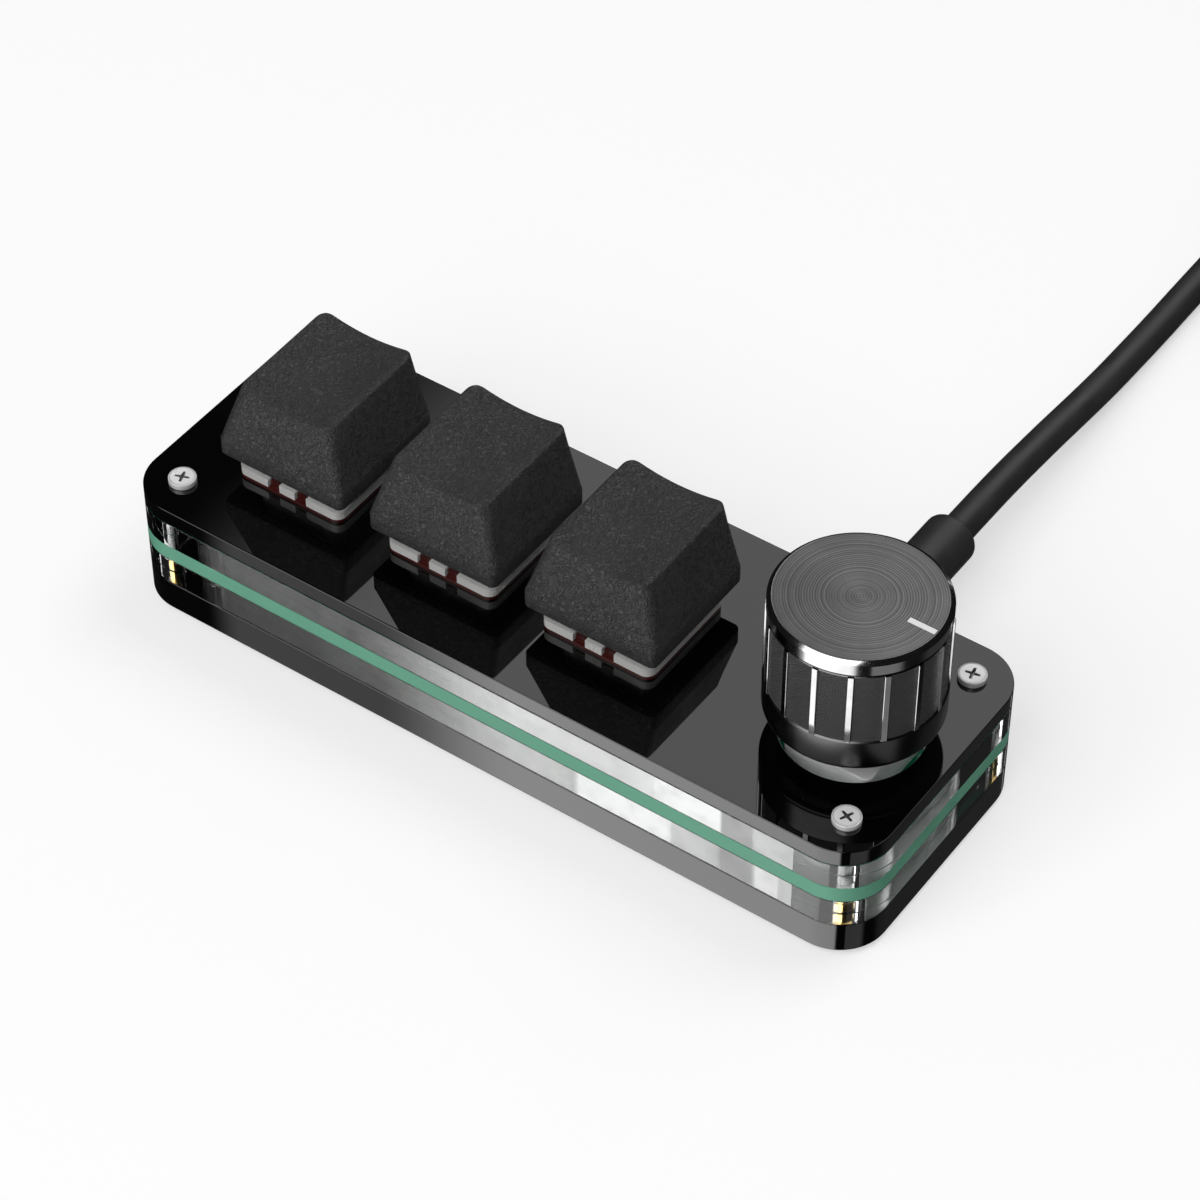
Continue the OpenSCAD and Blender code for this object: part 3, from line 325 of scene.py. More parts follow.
class Shell:
    """Gathers grids, flat faces and their UVs for one mesh."""

    def __init__(self):
        self.points, self.faces, self.uvs, self.slots, self.smooth, self.count = [], [], [], [], [], 0

    def join(self, faces, uvs=None, slot=0, smooth=True):
        """Adds faces (m, k) between points that are already there, with their corner UVs (m, k, 2)."""
        self.faces.append(faces)
        self.uvs.append(np.zeros(faces.shape + (2,)) if uvs is None else uvs)
        self.slots.append(np.full(len(faces), slot))
        self.smooth.append(np.full(len(faces), smooth))

    def grid(self, points, wrap=True, uv=None, slot=0, start=False, end=False, flip=False):
        """Adds a grid of points (rows, cols, 3) with (u, v) size uv; start and end close its ends with a flat face."""
        rows, cols = points.shape[:2]
        faces = quads(rows, cols, wrap)
        size = (1.0, 1.0) if uv is None else uv
        i, j = faces // cols, faces % cols
        if wrap:
            j = np.where((j == 0) & (np.arange(4) % 4 != 0) & (np.arange(4) % 4 != 3), cols, j)
        uvs = np.stack([j * size[0] / (cols if wrap else cols - 1), i * size[1] / (rows - 1)], -1)
        if flip:
            faces, uvs = faces[:, ::-1], uvs[:, ::-1]
        self.points.append(np.asarray(points, float).reshape(-1, 3))
        self.join(faces + self.count, uvs, slot)
        ends = ([np.arange(cols)[::-1]] if start else []) + ([np.arange(cols) + (rows - 1) * cols] if end else [])
        for loop in ends:
            self.join(self.count + (loop[::-1] if flip else loop)[None], slot=slot, smooth=False)
        self.count += rows * cols
        return self

    def build(self, name, merge=True):
        """Makes the mesh in metres, with doubles merged so that poles and seams are closed."""
        mesh = bpy.data.meshes.new(name)
        points = np.concatenate(self.points) * MM
        mesh.from_pydata(points.tolist(), [], [face for block in self.faces for face in block.tolist()])
        layer = mesh.uv_layers.new(name="UVMap")
        layer.data.foreach_set("uv", np.concatenate([block.reshape(-1) for block in self.uvs]).astype(np.float32))
        mesh.polygons.foreach_set("material_index", np.concatenate(self.slots).astype(np.int32))
        mesh.polygons.foreach_set("use_smooth", np.concatenate(self.smooth))
        if merge:
            work = bmesh.new()
            work.from_mesh(mesh)
            bmesh.ops.remove_doubles(work, verts=work.verts, dist=2e-7)
            bmesh.ops.dissolve_degenerate(work, edges=work.edges, dist=1e-8)
            work.to_mesh(mesh)
            work.free()
        return mesh


def put(name, mesh, finishes, body="case", stands_for=(), sharp=32):
    """Puts a mesh in the scene with its finishes, riding on a body, in place of CAD nodes."""
    if isinstance(mesh, Shell):
        mesh = mesh.build(name)
    smooth = np.empty(len(mesh.polygons), bool)
    mesh.polygons.foreach_get("use_smooth", smooth)
    mesh.set_sharp_from_angle(angle=math.radians(sharp))
    mesh.polygons.foreach_set("use_smooth", smooth)
    piece = bpy.data.objects.new(name, mesh)
    bpy.context.scene.collection.objects.link(piece)
    for key in ([finishes] if isinstance(finishes, str) else finishes):
        mesh.materials.append(finish(key))
    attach(piece, body)
    if stands_for:
        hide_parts(*([stands_for] if isinstance(stands_for, str) else stands_for))
    return piece


def crisp(name, node, width, finishes, body="case", segments=2, flat=1.0, slim=None):
    """A copy of a CAD node with its doubles merged, its flat faces joined and its edges rounded by width.

    slim scales it about the middle of its box, so that a sliding fit keeps some air. Without flat, a face keeps its
    triangles: one with several holes is safer so.
    """
    work = bmesh.new()
    work.from_mesh(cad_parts[node].data)
    bmesh.ops.remove_doubles(work, verts=work.verts, dist=1e-6)
    if flat:
        bmesh.ops.dissolve_limit(work, angle_limit=math.radians(flat), verts=work.verts, edges=work.edges)
    if slim:
        bmesh.ops.scale(work, vec=slim, space=Matrix.Translation(Vector(-middle(node) * MM)), verts=work.verts)
    mesh = bpy.data.meshes.new(name)
    work.to_mesh(mesh)
    work.free()
    mesh.polygons.foreach_set("use_smooth", np.ones(len(mesh.polygons), bool))
    piece = put(name, mesh, finishes, body, node)
    bevel = piece.modifiers.new("Edges", "BEVEL")
    bevel.width, bevel.segments = width * MM, segments
    bevel.limit_method, bevel.angle_limit = "ANGLE", math.radians(40)
    bevel.miter_outer = "MITER_ARC"
    bevel.harden_normals = True
    return piece


# ---------------------------------------------------------------- curves and profiles


def circle(radius, count=64, centre=(0, 0), start=0.0):
    """Points on a circle, against the clock: r (cos, sin)."""
    a = start + TURN * np.arange(count) / count
    return np.asarray(centre)[:2] + radius * np.stack([np.cos(a), np.sin(a)], -1)


def round_rect(length, width, radius, steps=8, centre=(0, 0)):
    """A rectangle with arcs at its corners, against the clock: corner + r (cos, sin)."""
    corner = np.array([[1, 1], [-1, 1], [-1, -1], [1, -1]]) * (np.array([length, width]) / 2 - radius)
    a = (np.arange(4)[:, None] + np.linspace(0, 1, steps + 1)) * math.pi / 2
    arc = radius * np.stack([np.cos(a), np.sin(a)], -1)
    return (corner[:, None] + arc).reshape(-1, 2) + np.asarray(centre)[:2]


def inset(loop, distance):
    """A closed loop moved to its left by a distance, with each corner on the line that halves it."""
    ahead = np.roll(loop, -1, 0) - loop
    left = np.stack([-ahead[:, 1], ahead[:, 0]], -1) / np.linalg.norm(ahead, axis=1, keepdims=True)
    both = left + np.roll(left, 1, 0)
    return loop + distance * both / (1 + (left * np.roll(left, 1, 0)).sum(1, keepdims=True))


def fillet(points, radii, steps=5):
    """An open line whose corners are cut back by their radii and turned by the curve (1-t)^2 A + 2t(1-t) P + t^2 B."""
    p = np.asarray(points, float)
    r = np.asarray(radii, float)[:, None]
    before, after = np.vstack([p[:1], p[:-1]]) - p, np.vstack([p[1:], p[-1:]]) - p
    a = p + r * before / np.maximum(np.linalg.norm(before, axis=1, keepdims=True), 1e-9)
    b = p + r * after / np.maximum(np.linalg.norm(after, axis=1, keepdims=True), 1e-9)
    t = np.linspace(0, 1, steps + 1)[None, :, None]
    return ((1 - t) ** 2 * a[:, None] + 2 * t * (1 - t) * p[:, None] + t ** 2 * b[:, None]).reshape(-1, 2)


def lathe(profile, count=96, centre=(0, 0)):
    """A profile of (radius, height) turned about an upright axis: x = r cos a, y = r sin a."""
    profile = np.asarray(profile, float)
    a = TURN * np.arange(count) / count
    r, z = profile[:, :1], profile[:, 1:]
    return np.stack([centre[0] + r * np.cos(a), centre[1] + r * np.sin(a), z + 0 * a], -1)


def smooth_line(points, per_span):
    """A curve through points: on each span a cubic that takes its slope from the points on both sides."""
    p = np.asarray(points, float)
    p = np.vstack([2 * p[:1] - p[1:2], p, 2 * p[-1:] - p[-2:-1]])
    t = (np.arange(per_span) / per_span)[None, :, None]
    a, b, c, d = (p[i:len(p) - 3 + i][:, None] for i in range(4))
    line = 0.5 * (2 * b + (c - a) * t + (2 * a - 5 * b + 4 * c - d) * t ** 2 + (3 * b - a - 3 * c + d) * t ** 3)
    return np.vstack([line.reshape(-1, p.shape[1]), p[-2:-1]])


def headings(path):
    """Unit directions along a path, and the two directions square to them: level, and over it."""
    ahead = np.gradient(path, axis=0)
    ahead /= np.linalg.norm(ahead, axis=1, keepdims=True)
    side = np.cross(ahead, [0, 0, 1])
    side /= np.linalg.norm(side, axis=1, keepdims=True)
    return ahead, side, np.cross(ahead, side)


def tube(path, radius, sides=20):
    """Rings of points round a path: p + r (cos a side + sin a down)."""
    _, side, down = headings(path)
    a = TURN * np.arange(sides) / sides
    r = np.broadcast_to(np.asarray(radius, float), (len(path),))[:, None, None]
    return path[:, None] + r * (np.cos(a)[:, None] * side[:, None] + np.sin(a)[:, None] * down[:, None])


def line_length(path):
    """Length of a line of points."""
    return float(np.linalg.norm(np.diff(path, axis=0), axis=1).sum())


def sheet(shell, loops, low, high, edge, steps=3, sinks=None, face=0, wall=0):
    """A flat sheet with holes: each loop's wall is a quarter round, a straight and a quarter round carried round it.

    The first loop goes against the clock, holes go with it. sinks gives a hole's cone: {loop: (wider by, deep)}.
    wall is the slot of the walls, or one for each loop.
    """
    turn = np.linspace(0, math.pi / 2, steps + 1)
    back, rise = edge * (1 - np.sin(turn)), edge * (1 - np.cos(turn))
    near = max(0.0, min(0.05, (high - low) / 4 - edge / 2))
    rims = [[], []]
    for number, loop in enumerate(loops):
        ins = np.concatenate([back, [0, 0], back[::-1]])
        ups = np.concatenate([low + rise, [low + edge + near, high - edge - near], high - rise[::-1]])
        if sinks and number in sinks:
            wider, deep = sinks[number]
            ins = np.concatenate([[wider, 0, 0, 0], back[::-1]])
            ups = np.concatenate([[low, low + deep, low + deep + near, high - edge - near], high - rise[::-1]])
        wall_points = np.stack([np.column_stack([inset(loop, i), np.full(len(loop), z)]) for i, z in zip(ins, ups)])
        cut = wall[number] if isinstance(wall, (list, tuple)) else wall
        rims[0].append(shell.count + np.arange(len(loop)))
        rims[1].append(shell.count + (len(ins) - 1) * len(loop) + np.arange(len(loop)))
        shell.grid(wall_points, slot=cut, uv=(line_length(loop), high - low))
    points = np.concatenate(shell.points)
    for rim, up in zip(rims, (-1, 1)):
        flat = [[Vector((*points[k][:2], 0)) for k in loop] for loop in rim]
        index = np.concatenate(rim)
        faces = index[np.array(geometry.tessellate_polygon(flat))]
        a, b, c = (points[faces[:, k]][:, :2] for k in range(3))
        turned = np.cross(b - a, c - a) * up < 0
        faces[turned] = faces[turned][:, ::-1]
        shell.join(faces, slot=face, smooth=False)
    return shell


def hole(loop):
    """A loop turned to go with the clock, as a hole does."""
    return loop[::-1]


def block(shell, low, high, edge, slot=0):
    """A box between two corners with rounded edges: a small sheet."""
    low, high = np.asarray(low, float), np.asarray(high, float)
    size = high - low
    loop = round_rect(size[0], size[1], min(edge, size[0] / 3, size[1] / 3), 2, (low + high) / 2)
    return sheet(shell, [loop], low[2], high[2], min(edge, size[2] / 3), 2, face=slot, wall=slot)


# ---------------------------------------------------------------- materials


def place(tree, kind, inputs=None, **settings):
    """Adds a node; inputs are values or the sockets that feed it."""
    made = tree.nodes.new(kind)
    for key, value in settings.items():
        setattr(made, key, value)
    for key, value in (inputs or {}).items():
        if isinstance(value, bpy.types.NodeSocket):
            tree.links.new(value, made.inputs[key])
        else:
            made.inputs[key].default_value = value
    return made


def sums(tree, operation, a, b=0.0, c=0.0):
    """A maths node on sockets or numbers."""
    return place(tree, "ShaderNodeMath", {0: a, 1: b, 2: c}, operation=operation).outputs[0]


def times(tree, a, b):
    """Two sockets or numbers multiplied."""
    return sums(tree, "MULTIPLY", a, b)


def added(tree, a, b):
    """Two sockets or numbers added."""
    return sums(tree, "ADD", a, b)


def vectors(tree, operation, a, b=None, output=0):
    """A vector maths node on sockets or triples."""
    given = {0: a} if b is None else {0: a, 1: b}
    return place(tree, "ShaderNodeVectorMath", given, operation=operation).outputs[output]


def parted(tree, vector):
    """The x, y and z of a vector."""
    return place(tree, "ShaderNodeSeparateXYZ", {0: vector}).outputs


def mix(tree, share, first, second):
    """Two colours mixed by a share from 0 to 1; each is three numbers or a socket."""
    ends = {k: c if isinstance(c, bpy.types.NodeSocket) else (*c, 1) for k, c in ((6, first), (7, second))}
    return place(tree, "ShaderNodeMix", {"Factor": share, **ends}, data_type="RGBA").outputs[2]


def bump(tree, height, depth, strength=1.0, over=None):
    """A bump of a depth in millimetres, laid over another normal where one is given."""
    made = place(tree, "ShaderNodeBump", {"Height": height, "Distance": depth * MM, "Strength": strength})
    if over:
        tree.links.new(over, made.inputs["Normal"])
    return made.outputs[0]


def ramp(tree, value, low, high, first=0.0, last=1.0):
    """A smooth step of a value from one number to another."""
    given = {"Value": value, "From Min": low, "From Max": high, "To Min": first, "To Max": last}
    return place(tree, "ShaderNodeMapRange", given, interpolation_type="SMOOTHSTEP").outputs["Result"]


def effect(name, inputs, outputs, build):
    """A shared node group with named inputs and outputs, built once."""
    tree = bpy.data.node_groups.get(name)
    if tree:
        return tree
    tree = bpy.data.node_groups.new(name, "ShaderNodeTree")
    for key, value in inputs.items():
        kind = "NodeSocketVector" if value is None else "NodeSocketFloat"
        socket = tree.interface.new_socket(name=key, in_out="INPUT", socket_type=kind)
        if value is not None:
            socket.default_value = value
    for key in outputs:
        tree.interface.new_socket(name=key, in_out="OUTPUT", socket_type="NodeSocketFloat")
    source, sink = tree.nodes.new("NodeGroupInput"), tree.nodes.new("NodeGroupOutput")
    for key, socket in zip(outputs, build(tree, source.outputs)):
        tree.links.new(socket, sink.inputs[key])
    return tree


def in_millimetres(tree, vector, size):
    """A place in metres as a number of sizes, where the size is in millimetres."""
    scale = sums(tree, "DIVIDE", 1 / MM, size)
    return place(tree, "ShaderNodeVectorMath", {0: vector, "Scale": scale}, operation="SCALE").outputs[0]


def noise(tree, vector, detail=2.0, rough=0.5, warp=0.0, scale=1.0):
    """Plain noise from 0 to 1."""
    return place(
        tree, "ShaderNodeTexNoise",
        {"Vector": vector, "Scale": scale, "Detail": detail, "Roughness": rough, "Distortion": warp},
    ).outputs["Fac"]


def build_drift(tree, given):
    """Slow change of tone: noise of the given size, stretched to run from 0 to 1."""
    return [ramp(tree, noise(tree, in_millimetres(tree, given["Vector"], given["Size"]), 3.0), 0.3, 0.7)]


def build_leather(tree, given):
    """Leather grain: creases lie where warped noise crosses its middle value, with fine pebbles between."""
    where = in_millimetres(tree, given["Vector"], given["Size"])
    first, second = (
        sums(tree, "ABSOLUTE", sums(tree, "SUBTRACT", noise(tree, where, *values), 0.5))
        for values in ((1.0, 0.5, 0.6, 0.75), (1.5, 0.55, 0.8, 1.2))
    )
    crease = sums(tree, "MINIMUM", ramp(tree, first, 0.0, 0.11), ramp(tree, second, -0.02, 0.10))
    pebble = noise(tree, where, 2.0, 0.6, 0.0, 3.1)
    return [added(tree, times(tree, crease, 0.8), times(tree, pebble, 0.2)), crease]


def build_spun(tree, given):
    """Spun rings: noise that depends on the distance from the axis alone, with an even wave over it."""
    parts = parted(tree, in_millimetres(tree, given["Vector"], given["Pitch"]))
    flat = place(tree, "ShaderNodeCombineXYZ", {0: parts[0], 1: parts[1]}).outputs[0]
    radius = vectors(tree, "LENGTH", flat, output="Value")
    rings = place(
        tree, "ShaderNodeTexNoise", {"W": radius, "Scale": 1.0, "Detail": 3.0, "Roughness": 0.65},
        noise_dimensions="1D",
    ).outputs["Fac"]
    wave = sums(tree, "SINE", times(tree, radius, TURN))
    return [added(tree, rings, times(tree, wave, given["Even"]))]


def build_knurl(tree, given):
    """Diamond knurl on UVs in millimetres: the lesser of two waves that cross, |sin(u+v)| and |sin(u-v)|."""
    parts = parted(tree, given["Vector"])
    step = sums(tree, "DIVIDE", math.pi, given["Pitch"])
    waves = [
        sums(tree, "ABSOLUTE", sums(tree, "SINE", times(tree, sums(tree, kind, parts[0], parts[1]), step)))
        for kind in ("ADD", "SUBTRACT")
    ]
    return [sums(tree, "MINIMUM", *waves)]


def build_skin(tree, given):
    """Fine spark-eroded skin of a moulding: fine noise with some coarse noise in it."""
    where = in_millimetres(tree, given["Vector"], given["Size"])
    fine, coarse = noise(tree, where, 3.0, 0.6), noise(tree, where, 1.0, 0.5, 0.0, 0.2)
    return [added(tree, times(tree, fine, 0.7), times(tree, coarse, 0.3))]


def build_brushed(tree, given):
    """Brush or tool lines: noise that is drawn out along one axis by the given stretch."""
    where = in_millimetres(tree, given["Vector"], given["Size"])
    along = {k: given[f"Along {axis}"] for k, axis in enumerate("XYZ")}
    scale = place(tree, "ShaderNodeCombineXYZ", along).outputs[0]
    return [noise(tree, vectors(tree, "MULTIPLY", where, scale), 3.0, 0.6)]


def build_weave(tree, given):
    """Plain weave on UVs in millimetres: threads over and under by turns, |sin(u) sin(v)|."""
    parts = parted(tree, given["Vector"])
    step = sums(tree, "DIVIDE", math.pi, given["Pitch"])
    return [sums(tree, "ABSOLUTE", times(tree, *[sums(tree, "SINE", times(tree, parts[k], step)) for k in (0, 1)]))]


def build_tracks(tree, given):
    """Copper tracks under the lacquer: thin level and upright lines at places picked by plain noise."""
    where = in_millimetres(tree, given["Vector"], given["Size"])
    parts = parted(tree, where)
    thin = sums(tree, "MINIMUM", *[ramp(tree, sums(tree, "PINGPONG", parts[k], 0.5), 0.10, 0.16) for k in (0, 1)])
    pick = ramp(tree, noise(tree, where, 0.0, 0.5, 0.0, 0.21), 0.5, 0.53)
    return [times(tree, sums(tree, "SUBTRACT", 1.0, thin), pick)]


EFFECTS = {
    "Tone drift": ({"Vector": None, "Size": 8.0}, ["Mask"], build_drift),
    "Leather grain": ({"Vector": None, "Size": 0.5}, ["Height", "Crease"], build_leather),
    "Spun rings": ({"Vector": None, "Pitch": 0.3, "Even": 0.15}, ["Height"], build_spun),
    "Diamond knurl": ({"Vector": None, "Pitch": 0.36}, ["Height"], build_knurl),
    "Moulded skin": ({"Vector": None, "Size": 0.15}, ["Height"], build_skin),
    "Tool lines": (
        {"Vector": None, "Size": 0.1, "Along X": 1.0, "Along Y": 1.0, "Along Z": 1.0}, ["Height"], build_brushed,
    ),
    "Plain weave": ({"Vector": None, "Pitch": 0.5}, ["Height"], build_weave),
    "Board tracks": ({"Vector": None, "Size": 1.0}, ["Tracks"], build_tracks),
}


def use_effect(tree, name, vector, values):
    """A shared effect placed in a material with its own values."""
    return place(tree, "ShaderNodeGroup", {"Vector": vector, **values}, node_tree=effect(name, *EFFECTS[name])).outputs


# Width of the band that a pane's stops are spread over, in millimetres
SIGHT_SPAN = 100.0
# Plain values of a shader: name in a finish, socket, value where the finish has none
SHADER_VALUES = (
    ("metal", "Metallic", 0.0), ("ior", "IOR", 1.5), ("level", "Specular IOR Level", 0.5),
    ("glass", "Transmission Weight", 0.0), ("sheen", "Sheen Weight", 0.0),
)
MADE = {}


def tones(key):
    """The two tones of a finish. Where a setting holds the first, the second keeps its share of it."""
    base = FINISHES[key]["color"]
    second = FINISHES[key].get("second", tuple(min(1, c * 1.3 + 0.001) for c in base))
    if key not in TINTS:
        return base, second
    group, name = TINTS[key]
    first = tuple(getattr(getattr(bpy.context.scene, group), name))
    return first, tuple(min(1, s * f / b) for s, f, b in zip(second, first, base))


def painted_sight_share(tree, where, stops):
    """Share of the white ground that a pane shows, a painted see-through light: its stops along x, with a slow cloud
    over them.
    """
    share = sums(tree, "MULTIPLY_ADD", parted(tree, where)[0], 1 / (SIGHT_SPAN * MM), 0.5)
    shown = place(tree, "ShaderNodeValToRGB", {0: share})
    held = shown.color_ramp.elements
    held.remove(held[1])
    for number, (along, value) in enumerate(stops):
        at = along / SIGHT_SPAN + 0.5
        stop = held.new(at) if number else held[0]
        stop.position, stop.color = at, (*grey(value), 1)
    cloud = ramp(tree, noise(tree, in_millimetres(tree, where, 3.0), 3.0), 0.3, 0.62, 0.8, 1.0)
    return times(tree, shown.outputs["Color"], cloud)


def spun_face(tree, shader, where, light, dark):
    """The dial's face: rings in two tones, a painted shade that darkens the face towards the camera's left, drawn-out
    highlights and fine grooves.
    """
    axis = (-DIAL_PLACE[0] * MM, -DIAL_PLACE[1] * MM, 0)
    centred = place(tree, "ShaderNodeMapping", {"Vector": where, "Location": axis}).outputs[0]
    pitch = bpy.context.scene.keypad_dial.ring_pitch / MM
    rings = use_effect(tree, "Spun rings", centred, {"Pitch": pitch})["Height"]
    shade = mix(tree, ramp(tree, rings, 0.3, 0.75), dark, light)
    aside = vectors(tree, "DOT_PRODUCT", vectors(tree, "NORMALIZE", centred), CAMERA_RIGHT, "Value")
    shader.inputs["Anisotropic"].default_value = 0.75
    up = place(tree, "ShaderNodeCombineXYZ", {2: 1.0}).outputs[0]
    tree.links.new(vectors(tree, "CROSS_PRODUCT", up, centred), shader.inputs["Tangent"])
    tree.links.new(bump(tree, rings, 0.006), shader.inputs["Normal"])
    # painted shade: the face is mixed up to half with black towards the camera's left, in place of the spun face's fan
    # of reflection
    return mix(tree, ramp(tree, aside, -0.9, 0.5, 0.5, 0.0), shade, (0, 0, 0))


def finish(key):
    """The material of a finish, made when it is first asked for."""
    if key in MADE:
        return MADE[key]
    spec, scene = FINISHES[key], bpy.context.scene
    made = MADE[key] = bpy.data.materials.new(key)
    made.use_nodes = True
    tree = made.node_tree
    shader = tree.nodes["Principled BSDF"]
    coords = place(tree, "ShaderNodeTexCoord").outputs
    where = coords["Object"]
    drift = blend = use_effect(tree, "Tone drift", where, {"Size": spec.get("drift", 5.0)})["Mask"]
    first, second = tones(key)
    # painted shade: the colour darkens from the second tone to the first towards the left, over the x span given by
    # along
    if "along" in spec:
        start, end = spec["along"]
        along = ramp(tree, parted(tree, where)[0], start * MM, end * MM)
        blend = times(tree, along, sums(tree, "MULTIPLY_ADD", drift, 0.25, 0.8))
    colour = mix(tree, blend, first, second)
    low, high = spec["rough"]
    tree.links.new(sums(tree, "MULTIPLY_ADD", drift, high - low, low), shader.inputs["Roughness"])
    for name, socket, plain in SHADER_VALUES:
        shader.inputs[socket].default_value = spec.get(name, plain)
    bumps = list(spec.get("bumps", []))
    # a pane's alpha paints see-through light: the share of the white ground seen along x
    if "sight" in spec:
        tree.links.new(painted_sight_share(tree, where, spec["sight"]), shader.inputs["Alpha"])
    if "knurl" in spec:
        bumps.append(("Diamond knurl", {"Pitch": scene.keypad_dial.knurl / MM}, spec["knurl"], True))
    if "grain" in spec:
        size = {"Size": scene.keypad_keys.grain / MM}
        bumps += [("Leather grain", size, 0.12, False), *skin(0.06, 0.006)]
        # the grain's creases are painted darker: a painted shade
        colour = mix(tree, use_effect(tree, "Leather grain", where, size)["Crease"], PAINTED_CREASE_SHADE, colour)
    if "spun" in spec:
        colour = spun_face(tree, shader, where, first, second)
    if "tracks" in spec:
        marks = use_effect(tree, "Board tracks", where, {"Size": 1.1})["Tracks"]
        colour = mix(tree, marks, first, TRACK_GREEN)
        tree.links.new(bump(tree, marks, 0.02, 0.6), shader.inputs["Normal"])
    normal = None
    for name, values, depth, on_uvs in bumps:
        height = use_effect(tree, name, coords["UV"] if on_uvs else where, values)[0]
        normal = bump(tree, height, depth, over=normal)
    if normal:
        tree.links.new(normal, shader.inputs["Normal"])
    tree.links.new(colour, shader.inputs["Base Color"])
    return made


# ---------------------------------------------------------------- stage


class KEYPAD_OT_stage(bpy.types.Operator):
    """Camera at the photograph's angle, soft lamps, a plain sky and a pale floor"""

    bl_idname = "keypad.stage"
    bl_label = "Stage"

    def execute(self, context):
        studio = context.scene.keypad_studio
        camera = bpy.data.objects.new("camera", bpy.data.cameras.new("camera"))
        context.scene.collection.objects.link(camera)
        camera.data.lens, camera.data.sensor_width = studio.lens, 36
        camera.data.clip_start, camera.data.clip_end = 0.01, 10
        right, up, back = CAMERA_RIGHT, (-0.4085, 0.5807, 0.7043), (0.4052, -0.5760, 0.7100)
        turn = Matrix((right, up, back)).transposed().to_quaternion().to_matrix().to_4x4()
        camera.matrix_world = Matrix.Translation((0.19193, -0.26631, 0.34448)) @ turn
        context.scene.camera = camera
        context.scene.view_settings.view_transform = "Standard"
        power = studio.key_light
        self.lamp(context, "key_lamp", (-0.08, -0.88, 0.98), (0, 0, 0.01), (1.1, 1.0), power)
        behind = self.lamp(context, "back_lamp", (0.3, 0.66, 1.2), (0, 0, 0.01), (0.8, 0.8), 0.5 * power)
        behind.visible_glossy = False
        self.sky(context, studio.sky)
        self.floor(context)
        return {"FINISHED"}

    def lamp(self, context, name, place_at, aim, size, power):
        """A soft rectangular lamp that faces its aim."""
        lamp = bpy.data.lights.new(name, "AREA")
        lamp.shape, lamp.size, lamp.size_y, lamp.energy = "RECTANGLE", size[0], size[1], power
        piece = bpy.data.objects.new(name, lamp)
        context.scene.collection.objects.link(piece)
        away = Vector(place_at) - Vector(aim)
        piece.matrix_world = Matrix.Translation(place_at) @ away.to_track_quat("Z", "Y").to_matrix().to_4x4()
        piece.visible_camera = False
        return piece

    def sky(self, context, strength):
        """White where the camera or glass looks; polished faces see a pale card at the back and little else."""
        world = bpy.data.worlds.new("sky")
        context.scene.world = world
        world.use_nodes = True
        tree = world.node_tree
        ray = place(tree, "ShaderNodeLightPath").outputs
        way = parted(tree, place(tree, "ShaderNodeTexCoord").outputs["Generated"])
        height, front = sums(tree, "MAXIMUM", way[2], 0.02), times(tree, way[1], -1.0)
        along, across = sums(tree, "DIVIDE", way[0], height), sums(tree, "DIVIDE", way[1], height)
        card = times(tree, ramp(tree, along, -0.72, -0.62), ramp(tree, across, 0.25, 0.45))
        card = times(tree, card, ramp(tree, along, 0.9, 0.2, 0.0, 1.15))
        aside = sums(tree, "DIVIDE", way[0], sums(tree, "MAXIMUM", front, 0.05))
        steps = added(tree, ramp(tree, aside, -1.02, -0.985, 0.0, 0.19), ramp(tree, aside, -0.86, -0.735, 0.0, 0.81))
        below = times(tree, steps, ramp(tree, aside, 0.62, 0.45))
        dip = times(tree, ramp(tree, front, 0.15, 0.35), ramp(tree, way[2], 0.0, -0.2, 0.0, 2.3))
        below = times(tree, below, dip)
        turn = sums(tree, "ARCTAN2", way[1], way[0])
        side = times(tree, ramp(tree, turn, -0.75, -0.70), ramp(tree, turn, 0.05, -0.2))
        right = times(tree, ramp(tree, turn, 0.35, 0.7, 0.0, 0.16), ramp(tree, turn, 1.9, 1.4))
        side = times(tree, added(tree, side, right), ramp(tree, way[2], 0.0, -0.2, 0.0, 0.3))
        mirror = added(tree, added(tree, card, below), added(tree, side, 0.012))
        seen = sums(tree, "MAXIMUM", ray["Is Camera Ray"], ray["Is Transmission Ray"])
        light = sums(tree, "MULTIPLY_ADD", sums(tree, "SUBTRACT", 1.0, seen), strength, seen)
        glossy = ray["Is Glossy Ray"]
        plain = times(tree, light, sums(tree, "SUBTRACT", 1.0, glossy))
        light = added(tree, plain, times(tree, mirror, glossy))
        tree.links.new(light, tree.nodes["Background"].inputs["Strength"])
        tree.nodes["Background"].inputs["Color"].default_value = (1, 1, 1, 1)

    def floor(self, context):
        """A pale floor that keeps the shadow: part of its white is its own, part comes from the lamps."""
        mesh = bpy.data.meshes.new("floor")
        mesh.from_pydata([(-4, -4, 0), (4, -4, 0), (4, 4, 0), (-4, 4, 0)], [], [(0, 1, 2, 3)])
        floor = bpy.data.objects.new("floor", mesh)
        context.scene.collection.objects.link(floor)
        made = bpy.data.materials.new("floor_paper")
        made.use_nodes = True
        tree = made.node_tree
        values = {
            "Base Color": (0.5, 0.5, 0.5, 1), "Roughness": 1.0, "Specular IOR Level": 0.0,
            "Emission Color": (1, 1, 1, 1),
        }
        shader = tree.nodes["Principled BSDF"]
        for name, value in values.items():
            shader.inputs[name].default_value = value
        ray = place(tree, "ShaderNodeLightPath").outputs
        seen = sums(tree, "MAXIMUM", ray["Is Camera Ray"], ray["Is Transmission Ray"])
        tree.links.new(times(tree, seen, 0.53), shader.inputs["Emission Strength"])
        floor.visible_glossy = False
        mesh.materials.append(made)


# ---------------------------------------------------------------- cable and plugs


